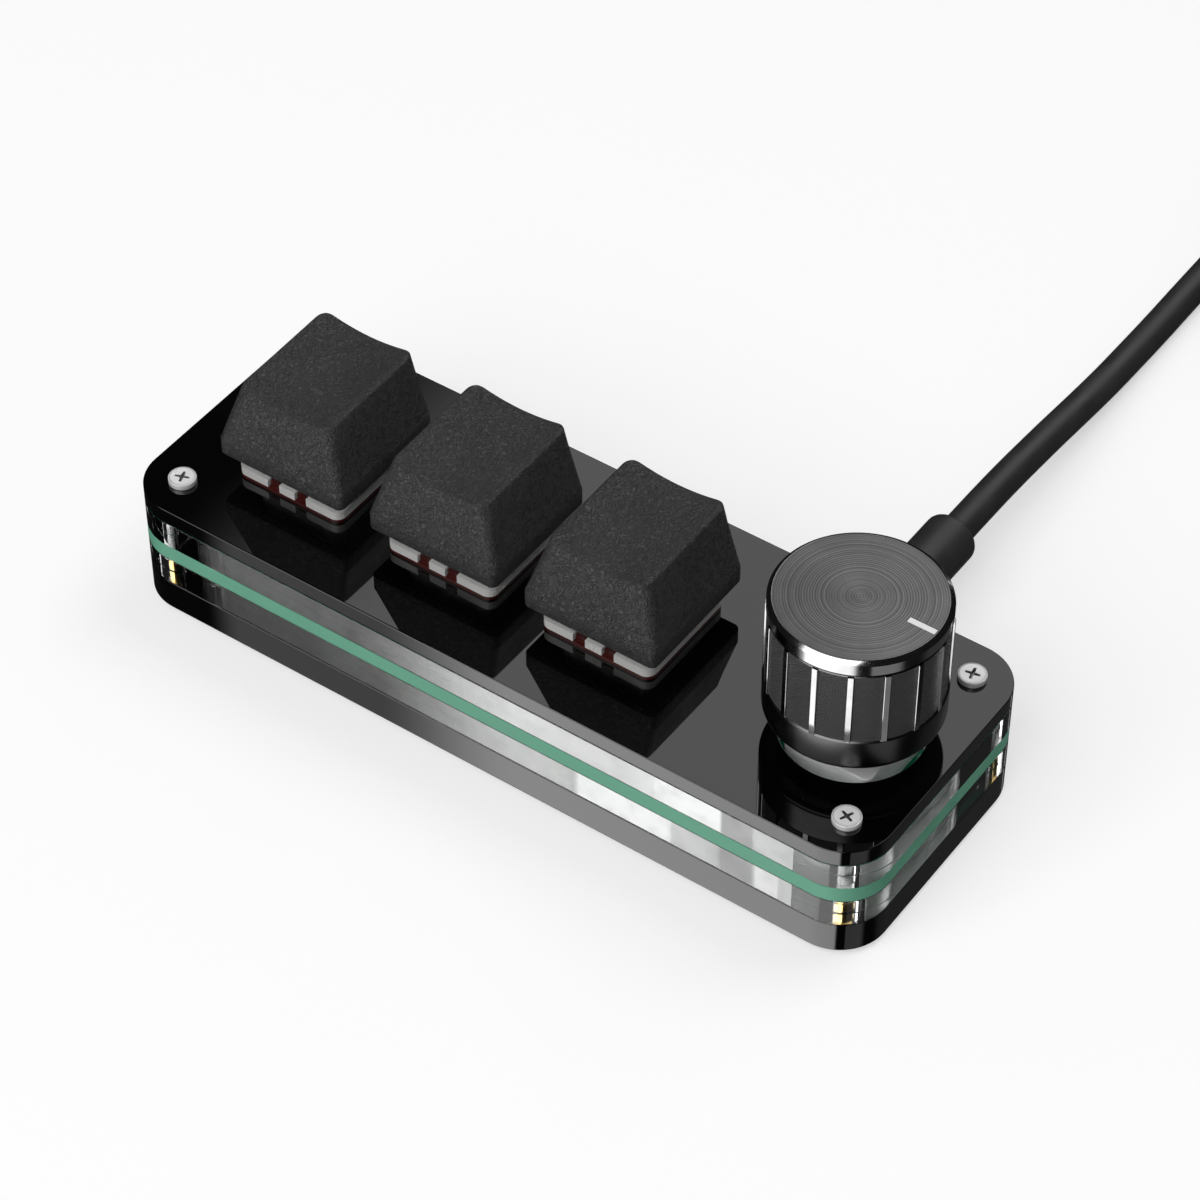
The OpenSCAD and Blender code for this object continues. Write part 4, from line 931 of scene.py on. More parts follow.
def cable_line():
    """The cable's line in millimetres: from the boot to the table, six and a half turns, and on to the far plug."""
    _, high = corners("usb_plug_grip")
    start = np.array([SOCKET_PLACE[0], high[1], SOCKET_PLACE[2]])
    bends = np.array([
        [0, 0, 0], [0, 4.7, 0.004], [-0.05, 9.7, 0.04], [-0.15, 14.7, 0.123], [-0.25, 19.7, 0.234], [-0.4, 24.7, 0.372],
        [-0.55, 29.7, 0.528], [-0.7, 34.7, 0.676], [-0.85, 39.7, 0.805], [-1, 44.7, 0.897], [-1.1, 49.7, 0.961],
        [-1.15, 54.7, 0.989], [-1.2, 59.7, 1], [-1.2, 65.7, 1], [-1.2, 71.7, 1], [-1.2, 77.7, 1],
    ])
    rest = CORD_R + 0.01
    route = start + bends * [1, 1, rest - start[2]]
    route = smooth_line(route, 3)
    turns, pitch, rise, per_turn = 3, 4.7, 4.57, 48
    outer = 22.4 + turns * pitch / 2
    centre = route[-1] + [outer, 2 * CORD_R, 0]
    t = np.arange((2 * turns + 0.5) * per_turn + 1) / per_turn
    r = outer - pitch * np.where(t < turns + 0.25, t, 2 * turns + 0.5 - t)
    lift = rise * np.clip((t - turns) * 2, 0, 1) + 0.6 * np.maximum(0, np.cos(TURN * (t - 0.75))) ** 8
    coil = centre + np.stack([-r * np.cos(TURN * t), r * np.sin(TURN * t), lift], -1)
    end = coil[-1] - [0, 2 * CORD_R, 0]
    drop = end[2] - middle("far_plug_grip")[2]
    shares = np.array([0, 0.015, 0.15, 0.45, 0.78, 1, 1])
    tail = end - np.stack([0 * shares, 4.0 * np.arange(7), shares * drop], -1)
    return np.vstack([route, coil, smooth_line(tail, 3)])


class KEYPAD_OT_cable(bpy.types.Operator):
    """The cable with its coil, the tie, the boot and plug at the case and the plug at the far end"""

    bl_idname = "keypad.cable"
    bl_label = "Cable and plugs"

    def execute(self, context):
        settings = context.scene.keypad_cable
        radius = settings.radius / MM
        line = cable_line()
        shell = Shell().grid(tube(line, radius, 18), start=True, end=True, uv=(TURN * radius, line_length(line)))
        cable = put("cable", shell, "cable_black", stands_for=("usb_cord", "usb_cord_coil", "usb_cord_tail"), sharp=60)
        pieces = [*self.near_plug(), *self.far_plug(), self.tie()]
        return {"FINISHED"}

    def near_plug(self):
        """The grip swells from a flat oval to the round boot: half width and half height depend on the length."""
        low, high = corners("usb_plug_grip")
        x, z = SOCKET_PLACE[0], SOCKET_PLACE[2]
        profile = fillet(
            [
                [0, low[1]], [5.28, low[1]], [5.8, low[1] + 0.55], [5.8, low[1] + 6.4], [3.45, low[1] + 8.4],
                [3.45, high[1]], [2.3, high[1]], [2.2, high[1] - 0.8], [0, high[1] - 0.8],
            ],
            [0, 0.4, 0.4, 1.6, 1.3, 1.0, 0.15, 0, 0], 6,
        )
        tall = np.interp(profile[:, 1], [low[1], low[1] + 0.55, low[1] + 6.4, low[1] + 8.4], [0.925, 0.97, 1, 1])
        a = TURN * np.arange(64) / 64
        half = profile[:, :1]
        height = np.minimum(half, 3.2 + 0.25 * np.clip((profile[:, 1:] - low[1] - 6.4) / 2, 0, 1)) * tall[:, None]
        spread = np.maximum(half - height, 0)
        px = height * np.cos(a) + spread * np.tanh(5 * np.cos(a)) / math.tanh(5)
        points = np.stack([x + px, profile[:, 1:] + 0 * a, z - height * np.sin(a)], -1)
        grip = put("plug_grip", Shell().grid(points), "cable_black", stands_for="usb_plug_grip", sharp=50)
        metal = crisp("plug_shell", "usb_plug_shell", 0.1, "bright_steel")
        return grip, metal

    def far_plug(self):
        """Rounded rectangles carried along the plug; shallow grooves run across its faces for the fingers."""
        low, high = corners("far_plug_grip")
        x, z = (low[0] + high[0]) / 2, (low[2] + high[2]) / 2
        width, height, length = high[0] - low[0], high[2] - low[2], high[1] - low[1]
        spans = [np.linspace(0, 0.09, 10), np.linspace(0.09, 0.95, 66), np.linspace(0.95, 1, 7)]
        s = np.unique(np.round(np.concatenate(spans), 5))
        along = s * length
        nose = 2.6 * (1 - np.sqrt(np.clip(1 - ((1.9 - along) / 1.9).clip(0, 1) ** 2, 0, 1)))
        tail = 0.5 * (1 - np.sqrt(np.clip(1 - ((along - length + 0.8) / 0.8).clip(0, 1) ** 2, 0, 1)))
        grooves = 0.28 * np.exp(-(((along - 7) % 2.6 - 1.3) / 0.42) ** 2) * ((along > 6.4) & (along < 16.6))
        rings = []
        for y, n, t, g in zip(high[1] - along, nose, tail, grooves):
            loop = round_rect(width - n - t, height - n - t - 2 * g, height / 4, 7)
            rings.append(np.column_stack([x + loop[:, 0], np.full(len(loop), y), z + loop[:, 1]]))
        shell = Shell().grid(np.stack(rings), start=True, end=True, uv=(40, length))
        collar = fillet([[2.1, 0.6], [3.3, 0.6], [3.5, -0.4], [3.5, -1.0]], [0, 0.4, 0.3, 0], 4)
        turned = lathe(collar[::-1], 40)
        shell.grid(np.stack([x + turned[..., 0], high[1] + turned[..., 2], z + turned[..., 1]], -1), flip=True)
        grip = put("far_grip", shell, "cable_black", stands_for="far_plug_grip", sharp=40)
        metal = self.far_shell()
        tongue = crisp("far_tongue", "far_plug_tongue", 0.12, "tongue_white")
        t_low, t_high = corners("far_plug_tongue")
        strips = Shell()
        for k in (-3.5, -1.0, 1.0, 3.5):
            start = (x + k - 0.5, t_low[1] + 1.2, t_low[2] - 0.08)
            block(strips, start, (x + k + 0.5, t_high[1] - 1.5, t_low[2] + 0.02), 0.03)
        contacts = put("far_contacts", strips, "contact_metal")
        return grip, metal, tongue, contacts

    def far_shell(self):
        """The sheet-metal shell: its CAD copy with two latch windows cut through the top and the bottom."""
        low, high = corners("far_plug_shell")
        piece = crisp("far_shell", "far_plug_shell", 0.12, "bright_steel")
        piece.modifiers.clear()
        cutter = Shell()
        for k in (-2.6, 2.6):
            x = (low[0] + high[0]) / 2 + k
            block(cutter, (x - 1.15, low[1] + 5.2, low[2] - 1), (x + 1.15, low[1] + 7.3, low[2] + 0.7), 0.2)
            block(cutter, (x - 1.15, low[1] + 5.2, high[2] - 0.31), (x + 1.15, low[1] + 7.3, high[2] + 1), 0.2)
        tool = bpy.data.objects.new("cutter", cutter.build("cutter"))
        bpy.context.scene.collection.objects.link(tool)
        cut = piece.modifiers.new("Windows", "BOOLEAN")
        cut.operation, cut.object, cut.solver = "DIFFERENCE", tool, "EXACT"
        bpy.context.view_layer.update()
        made = bpy.data.meshes.new_from_object(piece.evaluated_get(bpy.context.evaluated_depsgraph_get()))
        piece.modifiers.clear()
        piece.data = made
        made.materials.clear()
        made.materials.append(finish("bright_steel"))
        made.polygons.foreach_set("use_smooth", np.zeros(len(made.polygons), bool))
        bpy.data.objects.remove(tool)
        bevel = piece.modifiers.new("Edges", "BEVEL")
        bevel.width, bevel.segments = 0.07 * MM, 2
        bevel.limit_method, bevel.angle_limit = "ANGLE", math.radians(40)
        return piece

    def tie(self):
        """A woven band round the turns: a thin rounded section carried round a rounded rectangle."""
        low, high = corners("cable_tie")
        half_w, thick = (high[0] - low[0]) / 2, 0.5
        size = high - low
        loop = round_rect(size[1] - thick, size[2] - thick, 2.35, 12, (0, 0))
        ahead = np.roll(loop, -1, 0) - np.roll(loop, 1, 0)
        out = np.stack([ahead[:, 1], -ahead[:, 0]], -1) / np.linalg.norm(ahead, axis=1, keepdims=True)
        section = round_rect(2 * half_w, thick, 0.2, 4)
        mid = (low + high) / 2
        # rows go round the section, columns round the loop
        y = mid[1] + loop[None, :, 0] + section[:, 1:] * out[None, :, 0]
        z = mid[2] + loop[None, :, 1] + section[:, 1:] * out[None, :, 1]
        points = np.stack([mid[0] + section[:, :1] + 0 * y, y, z], -1)
        points = np.concatenate([points, points[:1]])
        shell = Shell().grid(points, uv=(line_length(loop), 11.0))
        return put("cable_tie_band", shell, "tie_fabric", stands_for="cable_tie", sharp=50)


# ---------------------------------------------------------------- case


def case_loop(settings):
    """Outline of the sheets."""
    size = CASE_HIGH - CASE_LOW
    return round_rect(size[0], size[1], settings.corner / MM, 16, (CASE_LOW + CASE_HIGH)[:2] / 2)


def clear_loops(settings, screw_r, notch=None):
    """Loops of a clear sheet: outline with a notch for the socket, screw holes, openings for switches and encoder."""
    outer = case_loop(settings)
    if notch:
        left, right, deep = notch
        back = CASE_HIGH[1]
        outer = np.insert(outer, 17, [[right, back], [right, back - deep], [left, back - deep], [left, back]], 0)
    width = SWITCH_W + 2 * settings.opening_gap / MM
    across = KEY_PLACES[3][0] - KEY_PLACES[1][0]
    keys = round_rect(across + width, width, 1.5, 8, KEY_PLACES[2])
    return [outer, *screw_holes(screw_r), hole(keys), hole(circle(DIAL_HOLE_R, 128, DIAL_PLACE))]


def screw_holes(radius=SCREW_HOLE_R):
    """Round holes at the four screws."""
    return [hole(circle(radius, 40, p)) for p in SCREW_PLACES]


class KEYPAD_OT_sheets(bpy.types.Operator):
    """The two black sheets with their rounded cut edges"""

    bl_idname = "keypad.sheets"
    bl_label = "Black sheets"

    def execute(self, context):
        settings = context.scene.keypad_case
        edge = settings.edge / MM
        screws = screw_holes()
        low, high = corners("bottom_plate")
        sinks = {k: (0.9, 1.1) for k in (1, 2, 3, 4)}
        shell = sheet(Shell(), [case_loop(settings), *screws], low[2], high[2], edge, sinks=sinks)
        put("sheet_bottom", shell, "black_acrylic", stands_for="bottom_plate")
        low, high = corners("top_plate")
        keys = [hole(round_rect(SWITCH_HOLE_W, SWITCH_HOLE_W, 0.25, 3, KEY_PLACES[k])) for k in KEYS]
        dial = hole(circle(DIAL_HOLE_R, 128, DIAL_PLACE))
        shell = sheet(Shell(), [case_loop(settings), *screws, *keys, dial], low[2], high[2], edge)
        put("sheet_top", shell, "black_acrylic", stands_for="top_plate")
        return {"FINISHED"}


class KEYPAD_OT_clear_sheets(bpy.types.Operator):
    """The two clear sheets between the black ones and the circuit board"""

    bl_idname = "keypad.clear_sheets"
    bl_label = "Clear sheets"

    def execute(self, context):
        settings = context.scene.keypad_case
        socket = corners("usb_socket_shell")
        notch = (socket[0][0] - 0.2, socket[1][0] + 0.2, CASE_HIGH[1] - socket[0][1] + 0.2)
        air = 0.03
        for name, screw_r, cut in (("upper", SCREW_HOLE_R, None), ("lower", 1.7, notch)):
            node = f"{name}_clear_frame"
            low, high = corners(node)
            loops = clear_loops(settings, screw_r, cut)
            walls = [0] * 5 + [1, 2]
            shell = sheet(Shell(), loops, low[2] + air, high[2] - air, 0.08, wall=walls)
            put(f"clear_{name}", shell, ["clear_acrylic", f"cut_{name}", "cut_round"], stands_for=node)
            # a mirror pane just behind each sheet's front face, whose alpha paints the see-through light in the sheet's
            # depth
            pane, front = Shell(), CASE_LOW[1] + 0.14
            block(pane, (-41.0, front, low[2] + 0.12), (43.4, front + 0.05, high[2] - 0.12), 0.01)
            put(f"sight_{name}", pane, f"sight_{name}")
        return {"FINISHED"}


def pin_places():
    """Middles of the solder pins: two in each switch and five in the encoder."""
    switch = [KEY_PLACES[k] + np.array(p) for k in KEYS for p in ((2.54, 5.08), (-3.81, 2.54))]
    coder = [DIAL_PLACE + np.array(p) for p in ((-2.5, -4.6), (0, -4.6), (2.5, -4.6), (-2.5, 4.6), (2.5, 4.6))]
    return switch, coder


class KEYPAD_OT_board(bpy.types.Operator):
    """The circuit board with its drilled holes, pads, solder, chip and small parts"""

    bl_idname = "keypad.board"
    bl_label = "Circuit board"

    def execute(self, context):
        settings = context.scene.keypad_case
        switch, coder = pin_places()
        loops = [case_loop(settings), *screw_holes()]
        for k in KEYS:
            loops.append(hole(circle(1.97, 48, KEY_PLACES[k])))
            loops += [hole(circle(0.82, 24, KEY_PLACES[k] + [x, 0])) for x in (-5.08, 5.08)]
        loops += [hole(circle(0.65, 20, p)) for p in switch + coder]
        loops += [hole(round_rect(0.65, 2.3, 0.2, 3, DIAL_PLACE + [x, 0])) for x in (-CAN_TAB_X, CAN_TAB_X)]
        shell = sheet(Shell(), loops, BOARD_LOW, BOARD_HIGH, 0.06, 2, face=1, wall=0)
        put("board", shell, ["board_green", "board_face"], stands_for="circuit_board")
        self.solder(switch + coder)
        self.chip()
        self.parts()
        return {"FINISHED"}

    def solder(self, places):
        """Plated rings and hollow cones of solder round each pin: radius falls with the square of the height."""
        pads, cones = Shell(), Shell()
        t = np.linspace(0, 1, 7)[:, None]
        for p in places:
            for z, up in ((BOARD_LOW, -1), (BOARD_HIGH, 1)):
                ring = np.array([[0.62, 0], [0.62, 0.035], [1.12, 0.035], [1.15, 0]]) * [1, up] + [0, z]
                pads.grid(lathe(ring, 28, p), flip=up > 0)
            cone = np.hstack([0.52 + 0.5 * (1 - t) ** 2, BOARD_LOW - 0.04 - 0.62 * t])
            cones.grid(lathe(np.vstack([cone, [[0.0, BOARD_LOW - 0.75]]])[::-1], 24, p))
        for x in (-CAN_TAB_X, CAN_TAB_X):
            rows = []
            for k in t[:, 0]:
                place_at = DIAL_PLACE + [x, 0]
                ring = round_rect(1.5 * (1 - 0.5 * k), 3.0 * (1 - 0.2 * k), 0.35 * (1 - 0.5 * k), 4, place_at)
                rows.append(np.column_stack([ring, np.full(len(ring), BOARD_LOW - 0.6 * k)]))
            cones.grid(np.stack(rows), end=True, flip=True)
        # bare plated pads in front of the switches, for testing
        for k in KEYS:
            flat = np.array([[0.0, 0.0], [0.45, 0.0], [0.45, -0.04], [0.0, -0.06]]) + [0, BOARD_LOW]
            pads.grid(lathe(flat[::-1], 24, KEY_PLACES[k] + [-1.6, -7.7]))
        put("board_pads", pads, "contact_metal")
        put("board_solder", cones, "tinned")

    def chip(self):
        """A moulded body, and legs whose bent strip is a profile carried across."""
        x, y, _ = middle("controller_chip")
        body, legs = Shell(), Shell()
        z = BOARD_LOW
        block(body, (x - 1.95, y - 4.95, z - 1.65), (x + 1.95, y + 4.95, z - 0.15), 0.12)
        line = fillet([[1.9, -0.8], [2.3, -0.8], [2.45, -0.13], [2.95, -0.13]], [0, 0.12, 0.15, 0], 4)[4:-4]
        ahead = np.gradient(line, axis=0)
        across = np.stack([-ahead[:, 1], ahead[:, 0]], -1) / np.linalg.norm(ahead, axis=1, keepdims=True)
        section = round_rect(0.42, 0.24, 0.05, 2)
        for side in (-1, 1):
            for k in range(8):
                px = line[:, None, 0] + section[None, :, 1] * across[:, None, 0]
                pz = line[:, None, 1] + section[None, :, 1] * across[:, None, 1]
                py = y + (k - 3.5) * 1.27 + section[None, :, 0] + 0 * px
                legs.grid(np.stack([x + side * px, py, z + pz], -1), start=True, end=True, flip=side < 0)
        put("chip_body", body, "chip_plastic", stands_for="controller_chip")
        put("chip_legs", legs, "tinned")

    def parts(self):
        """Small soldered parts: a pale body between two tinned ends."""
        bodies, ends = Shell(), Shell()
        row, large, small = KEY_PLACES[1], (3.2, 1.6), (2, 1.25)
        under = [
            (31.6, -4.2, *small), (35, -4.2, *small), (33.3, -1.8, *large), (31.6, 1, *small), (35, 1, *small),
            (33.3, 3.6, *large),
        ]
        over = [(x, y, *size) for y, size in ((-3.6, large), (0.6, small), (4, small)) for x in (11.1, 33.3)]
        over.append((*(DIAL_PLACE - [7.2, 0] - row), 1.25, 2))
        for places, level in ((under, BOARD_LOW - 0.9), (over, BOARD_HIGH)):
            for x, y, length, width in places:
                low = np.array([row[0] + x - length / 2, row[1] + y - width / 2, level])
                high = low + [length, width, 0.9]
                cut = length * 0.22
                block(bodies, low + [cut, 0.05, 0.04], high - [cut, 0.05, 0.04], 0.05)
                block(ends, low, [low[0] + cut, high[1], high[2]], 0.09)
                block(ends, [high[0] - cut, low[1], low[2]], high, 0.09)
        put("part_bodies", bodies, "part_ceramic", stands_for="board_parts")
        put("part_ends", ends, "tinned")


def cross_recess(radius, top, recess, taper, length, width, angle, sides=120, rings=44):
    """A flat screw head with a cross cut in it: depth is how far a point lies inside either arm, over the taper."""
    r = np.linspace(0, radius, rings)[::-1][:, None]
    a = TURN * np.arange(sides) / sides
    u, v = r * np.cos(a - angle), r * np.sin(a - angle)
    narrow = width * (1 - 0.35 * np.clip(np.maximum(abs(u), abs(v)) / length, 0, 1))
    arm = np.maximum(np.minimum(length - abs(u), narrow - abs(v)), np.minimum(length - abs(v), narrow - abs(u)))
    depth = recess * np.clip(arm / taper, 0, 1)
    return np.stack([r * np.cos(a), r * np.sin(a), top - depth], -1)


def threaded(radius, low, high, pitch, depth, sides=24, per_pitch=6):
    """A screw thread: radius falls by depth times a zigzag of height / pitch - angle / turn."""
    z = np.linspace(low, high, int((high - low) / pitch * per_pitch) + 1)[:, None]
    a = TURN * np.arange(sides) / sides
    wave = np.abs(((z / pitch - a / TURN) % 1) * 2 - 1)
    fade = np.clip(np.minimum(z - low, high - z) / pitch, 0, 1)
    r = radius - depth * wave * fade
    return np.stack([r * np.cos(a), r * np.sin(a), z + 0 * a], -1)


class KEYPAD_OT_screws(bpy.types.Operator):
    """Top and bottom screws, the brass standoffs and the rubber feet"""

    bl_idname = "keypad.screws"
    bl_label = "Screws, standoffs and feet"

    def execute(self, context):
        pitch = context.scene.keypad_case.thread / MM
        top, bottom, brass = Shell(), Shell(), Shell()
        t_low, t_high = corners("top_screws")
        b_low, b_high = corners("bottom_screws")
        turns = (0.35, 0.75, 1.15, 0.2)
        rim = [[1.0, FACE_Z + 0.01], [1.72, FACE_Z + 0.01], [1.72, t_high[2]], [1.5, t_high[2]]]
        side = fillet(rim, [0, 0.08, 0.16, 0], 4)
        for (x, y), angle in zip(SCREW_PLACES, turns):
            at = np.array([x, y, 0])
            top.grid(lathe(side) + at)
            face = cross_recess(1.6, t_high[2], 0.42, 0.14, 0.92, 0.24, angle)
            # faces deeper than 0.05 mm take the darker steel: a painted shade in the recess
            deep = (t_high[2] - face[..., 2]).reshape(-1)[quads(*face.shape[:2])].mean(1) > 0.05
            top.grid(face + at, slot=deep.astype(int))
            top.grid(threaded(1.0, t_low[2], FACE_Z + 0.02, pitch, 0.13) + at, start=True)
            cone = np.array([[1.0, b_low[2] + 1.1], [1.88, b_low[2] + 0.06], [1.82, b_low[2]]])
            bottom.grid(lathe(cone) + at, flip=True)
            under = cross_recess(1.82, 0.0, 0.5, 0.16, 1.05, 0.32, angle + 0.4)
            under[..., 2] = b_low[2] - under[..., 2]
            bottom.grid(under + at, flip=True)
            bottom.grid(threaded(1.0, b_low[2] + 1.0, b_high[2], pitch, 0.13) + at, end=True)
        put("screws_top", top, ["screw_steel", "screw_recess"], stands_for="top_screws", sharp=28)
        put("screws_bottom", bottom, "screw_steel", stands_for="bottom_screws", sharp=28)
        low, high = corners("brass_standoffs")
        z0, z1 = low[2], high[2]
        line = [
            [1.02, z0], [1.45, z0], [1.6, z0 + 0.15], [1.6, z0 + 1.5], [1.5, z0 + 1.62], [1.5, z0 + 2.3],
            [1.6, z0 + 2.42], [1.6, z1 - 0.15], [1.45, z1], [1.02, z1], [1.02, z0],
        ]
        for p in SCREW_PLACES:
            brass.grid(lathe(line, 48, p))
        put("standoffs", brass, "brass", stands_for="brass_standoffs", sharp=28)
        self.feet()
        return {"FINISHED"}

    def feet(self):
        """Round rubber pads with a soft rim."""
        low, high = corners("rubber_feet")
        r = 4.0
        shell = Shell()
        line = fillet([[0, 0], [r - 0.05, 0], [r, high[2]], [0, high[2]]], [0, 0.35, 0, 0], 5)
        for x in (low[0] + r, high[0] - r):
            for y in (low[1] + r, high[1] - r):
                shell.grid(lathe(line, 64, (x, y)))
        put("feet", shell, "foot_rubber", stands_for="rubber_feet")


# ---------------------------------------------------------------- keys


class KEYPAD_OT_switches(bpy.types.Operator):
    """The three key switches: housings, red stems, return springs and contact leaves"""

    bl_idname = "keypad.switches"
    bl_label = "Switches"

    def execute(self, context):
        for k in KEYS:
            switch = f"switch_{k}"
            crisp(f"{switch}_base", f"{switch}_lower_housing", 0.1, "housing_red", flat=None, slim=(1.0, 1.0, 0.997))
            crisp(f"{switch}_cover", f"{switch}_upper_housing", 0.14, "housing_milky", flat=3.0)
            crisp(f"{switch}_slider", f"{switch}_stem", 0.08, "stem_red", f"key_{k}", slim=(0.998, 0.998, 0.996))
            crisp(f"{switch}_leaves", f"{switch}_contacts", 0.03, "contact_metal")
            self.spring(k)
        return {"FINISHED"}

    def spring(self, k):
        """A round wire on a helix whose end turns lie flat: (r cos 2 pi t, r sin 2 pi t, rise(t))."""
        low, high = corners(f"switch_{k}_spring")
        wire, turns = 0.2, 9.0
        radius = (high[0] - low[0]) / 2 - wire
        t = np.linspace(0, turns, int(turns * 20) + 1)
        climb = np.interp(t, [0, 0.9, turns - 0.9, turns], [0, 0.03, 0.97, 1])
        z = low[2] + wire + (high[2] - low[2] - 2 * wire) * climb
        x, y = KEY_PLACES[k]
        line = np.stack([x + radius * np.cos(TURN * t), y + radius * np.sin(TURN * t), z], -1)
        shell = Shell().grid(tube(line, wire, 10), start=True, end=True, uv=(1, 1))
        piece = put(f"switch_{k}_coil", shell, "spring_steel", stands_for=f"switch_{k}_spring", sharp=60)
        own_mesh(piece)


class KEYPAD_OT_caps(bpy.types.Operator):
    """The three keycaps with their hollow tops, rounded edges and leather grain"""

    bl_idname = "keypad.caps"
    bl_label = "Keycaps"

    foot = (18.25, 18.05)
    top_w, front_lean, back_lean, skirt = 13.55, 1.6, 0.05, 2.2
    front_h, back_h, wall, roof = 10.45, 10.75, 1.0, 1.4
    foot_r, top_r = 0.9, 1.5

    def execute(self, context):
        settings = context.scene.keypad_keys
        self.dish, self.edge = settings.dish / MM, settings.edge / MM
        for k in KEYS:
            put(f"cap_{k}", self.cap(k), "cap_black", body=f"key_{k}", stands_for=f"keycap_{k}", sharp=38)
        return {"FINISHED"}

    def outline(self, h, back):
        """A cap's outline at a height, drawn in: half width, front and back slide with the share over the skirt."""
        share = max(0.0, (h - self.skirt) / (self.front_h - self.skirt))
        soft = share - 0.012 * math.exp(-share / 0.012)
        half = (self.foot[0] + (self.top_w - self.foot[0]) * soft) / 2 - back
        front = -self.foot[1] / 2 + self.front_lean * soft + back
        rear = self.foot[1] / 2 + self.back_lean * soft - back
        radius = max(self.foot_r + (self.top_r - self.foot_r) * share - back, self.wall / 2)
        loop = round_rect(2 * half, rear - front, radius, 8, (0, (front + rear) / 2))
        arcs = loop.reshape(4, 9, 2)
        t = (np.arange(1, 10) / 10)[None, :, None]
        straights = arcs[:, -1:] * (1 - t) + np.roll(arcs, -1, 0)[:, :1] * t
        return np.concatenate([arcs, straights], 1).reshape(-1, 2)

    def top(self, x, y):
        """Height of the top: it climbs to the back and is hollowed across by 1 - (x / half)^2."""
        slope = (self.back_h - self.front_h) / (self.foot[1] - self.front_lean + self.back_lean)
        hollow = self.dish * np.maximum(0, 1 - (x / (self.top_w / 2 - 0.6)) ** 2)
        return self.front_h + slope * (y + self.foot[1] / 2 - self.front_lean) - hollow

    def cap(self, k):
        """Rings from the inner roof down the wall, round the foot, up the outside and over the edge to the middle."""
        low, _ = corners(f"keycap_{k}")
        rings = []

        def level(h, back):
            loop = self.outline(h, back)
            rings.append(np.column_stack([loop, np.full(len(loop), float(h))]))

        ceiling = self.front_h - self.dish - self.roof
        inner = self.outline(ceiling, self.wall)
        rings.append(np.column_stack([inner * 0.02, np.full(len(inner), ceiling)]))
        level(ceiling, self.wall + 1.4)
        level(ceiling - 0.3, self.wall + 0.2)
        for h in (ceiling - 0.8, 5.0, self.skirt, 0.1):
            level(h, self.wall)
        for h, back in ((0.0, self.wall - 0.12), (0.0, 0.15), (0.05, 0.05), (0.15, 0.0)):
            level(h, back)
        for h in (1.2, 1.9, 2.2, 2.4, 2.6, 3.0, 4.2, 5.6, 7.0, 8.2):
            level(h, 0.0)
        for a in np.linspace(0, math.pi / 2, 8):
            loop = self.outline(self.front_h - self.edge * (1 - math.sin(a)), self.edge * (1 - math.cos(a)))
            drop = self.edge * (1 - math.sin(a))
            rings.append(np.column_stack([loop, self.top(loop[:, 0], loop[:, 1]) - drop]))
        rim = self.outline(self.front_h, self.edge)
        centre = rim.mean(0)
        for share in np.linspace(0.94, 0.0, 15):
            loop = centre + (rim - centre) * share
            rings.append(np.column_stack([loop, self.top(loop[:, 0], loop[:, 1])]))
        at = np.array([*KEY_PLACES[k], low[2]])
        shell = Shell().grid(np.stack(rings) + at, uv=(72, 40))
        self.post(shell, k, low[2], ceiling)
        return shell

    def post(self, shell, k, foot, ceiling):
        """The round post that takes the stem: a small sheet with a cross-shaped hole."""
        x, y = KEY_PLACES[k]
        stem = corners(f"switch_{k}_stem")[1][2]
        low = stem - KEY_TRAVEL + 0.05
        a, b = 2.03, 0.6
        arm = np.array([[a, -b], [a, b], [b, b]])
        cross = np.concatenate([arm @ np.array([[c, s], [-s, c]]) for c, s in ((1, 0), (0, 1), (-1, 0), (0, -1))])
        sheet(shell, [circle(2.75, 64, (x, y)), hole(cross + [x, y])], low, foot + ceiling + 0.01, 0.06, 2)


# ---------------------------------------------------------------- encoder and dial


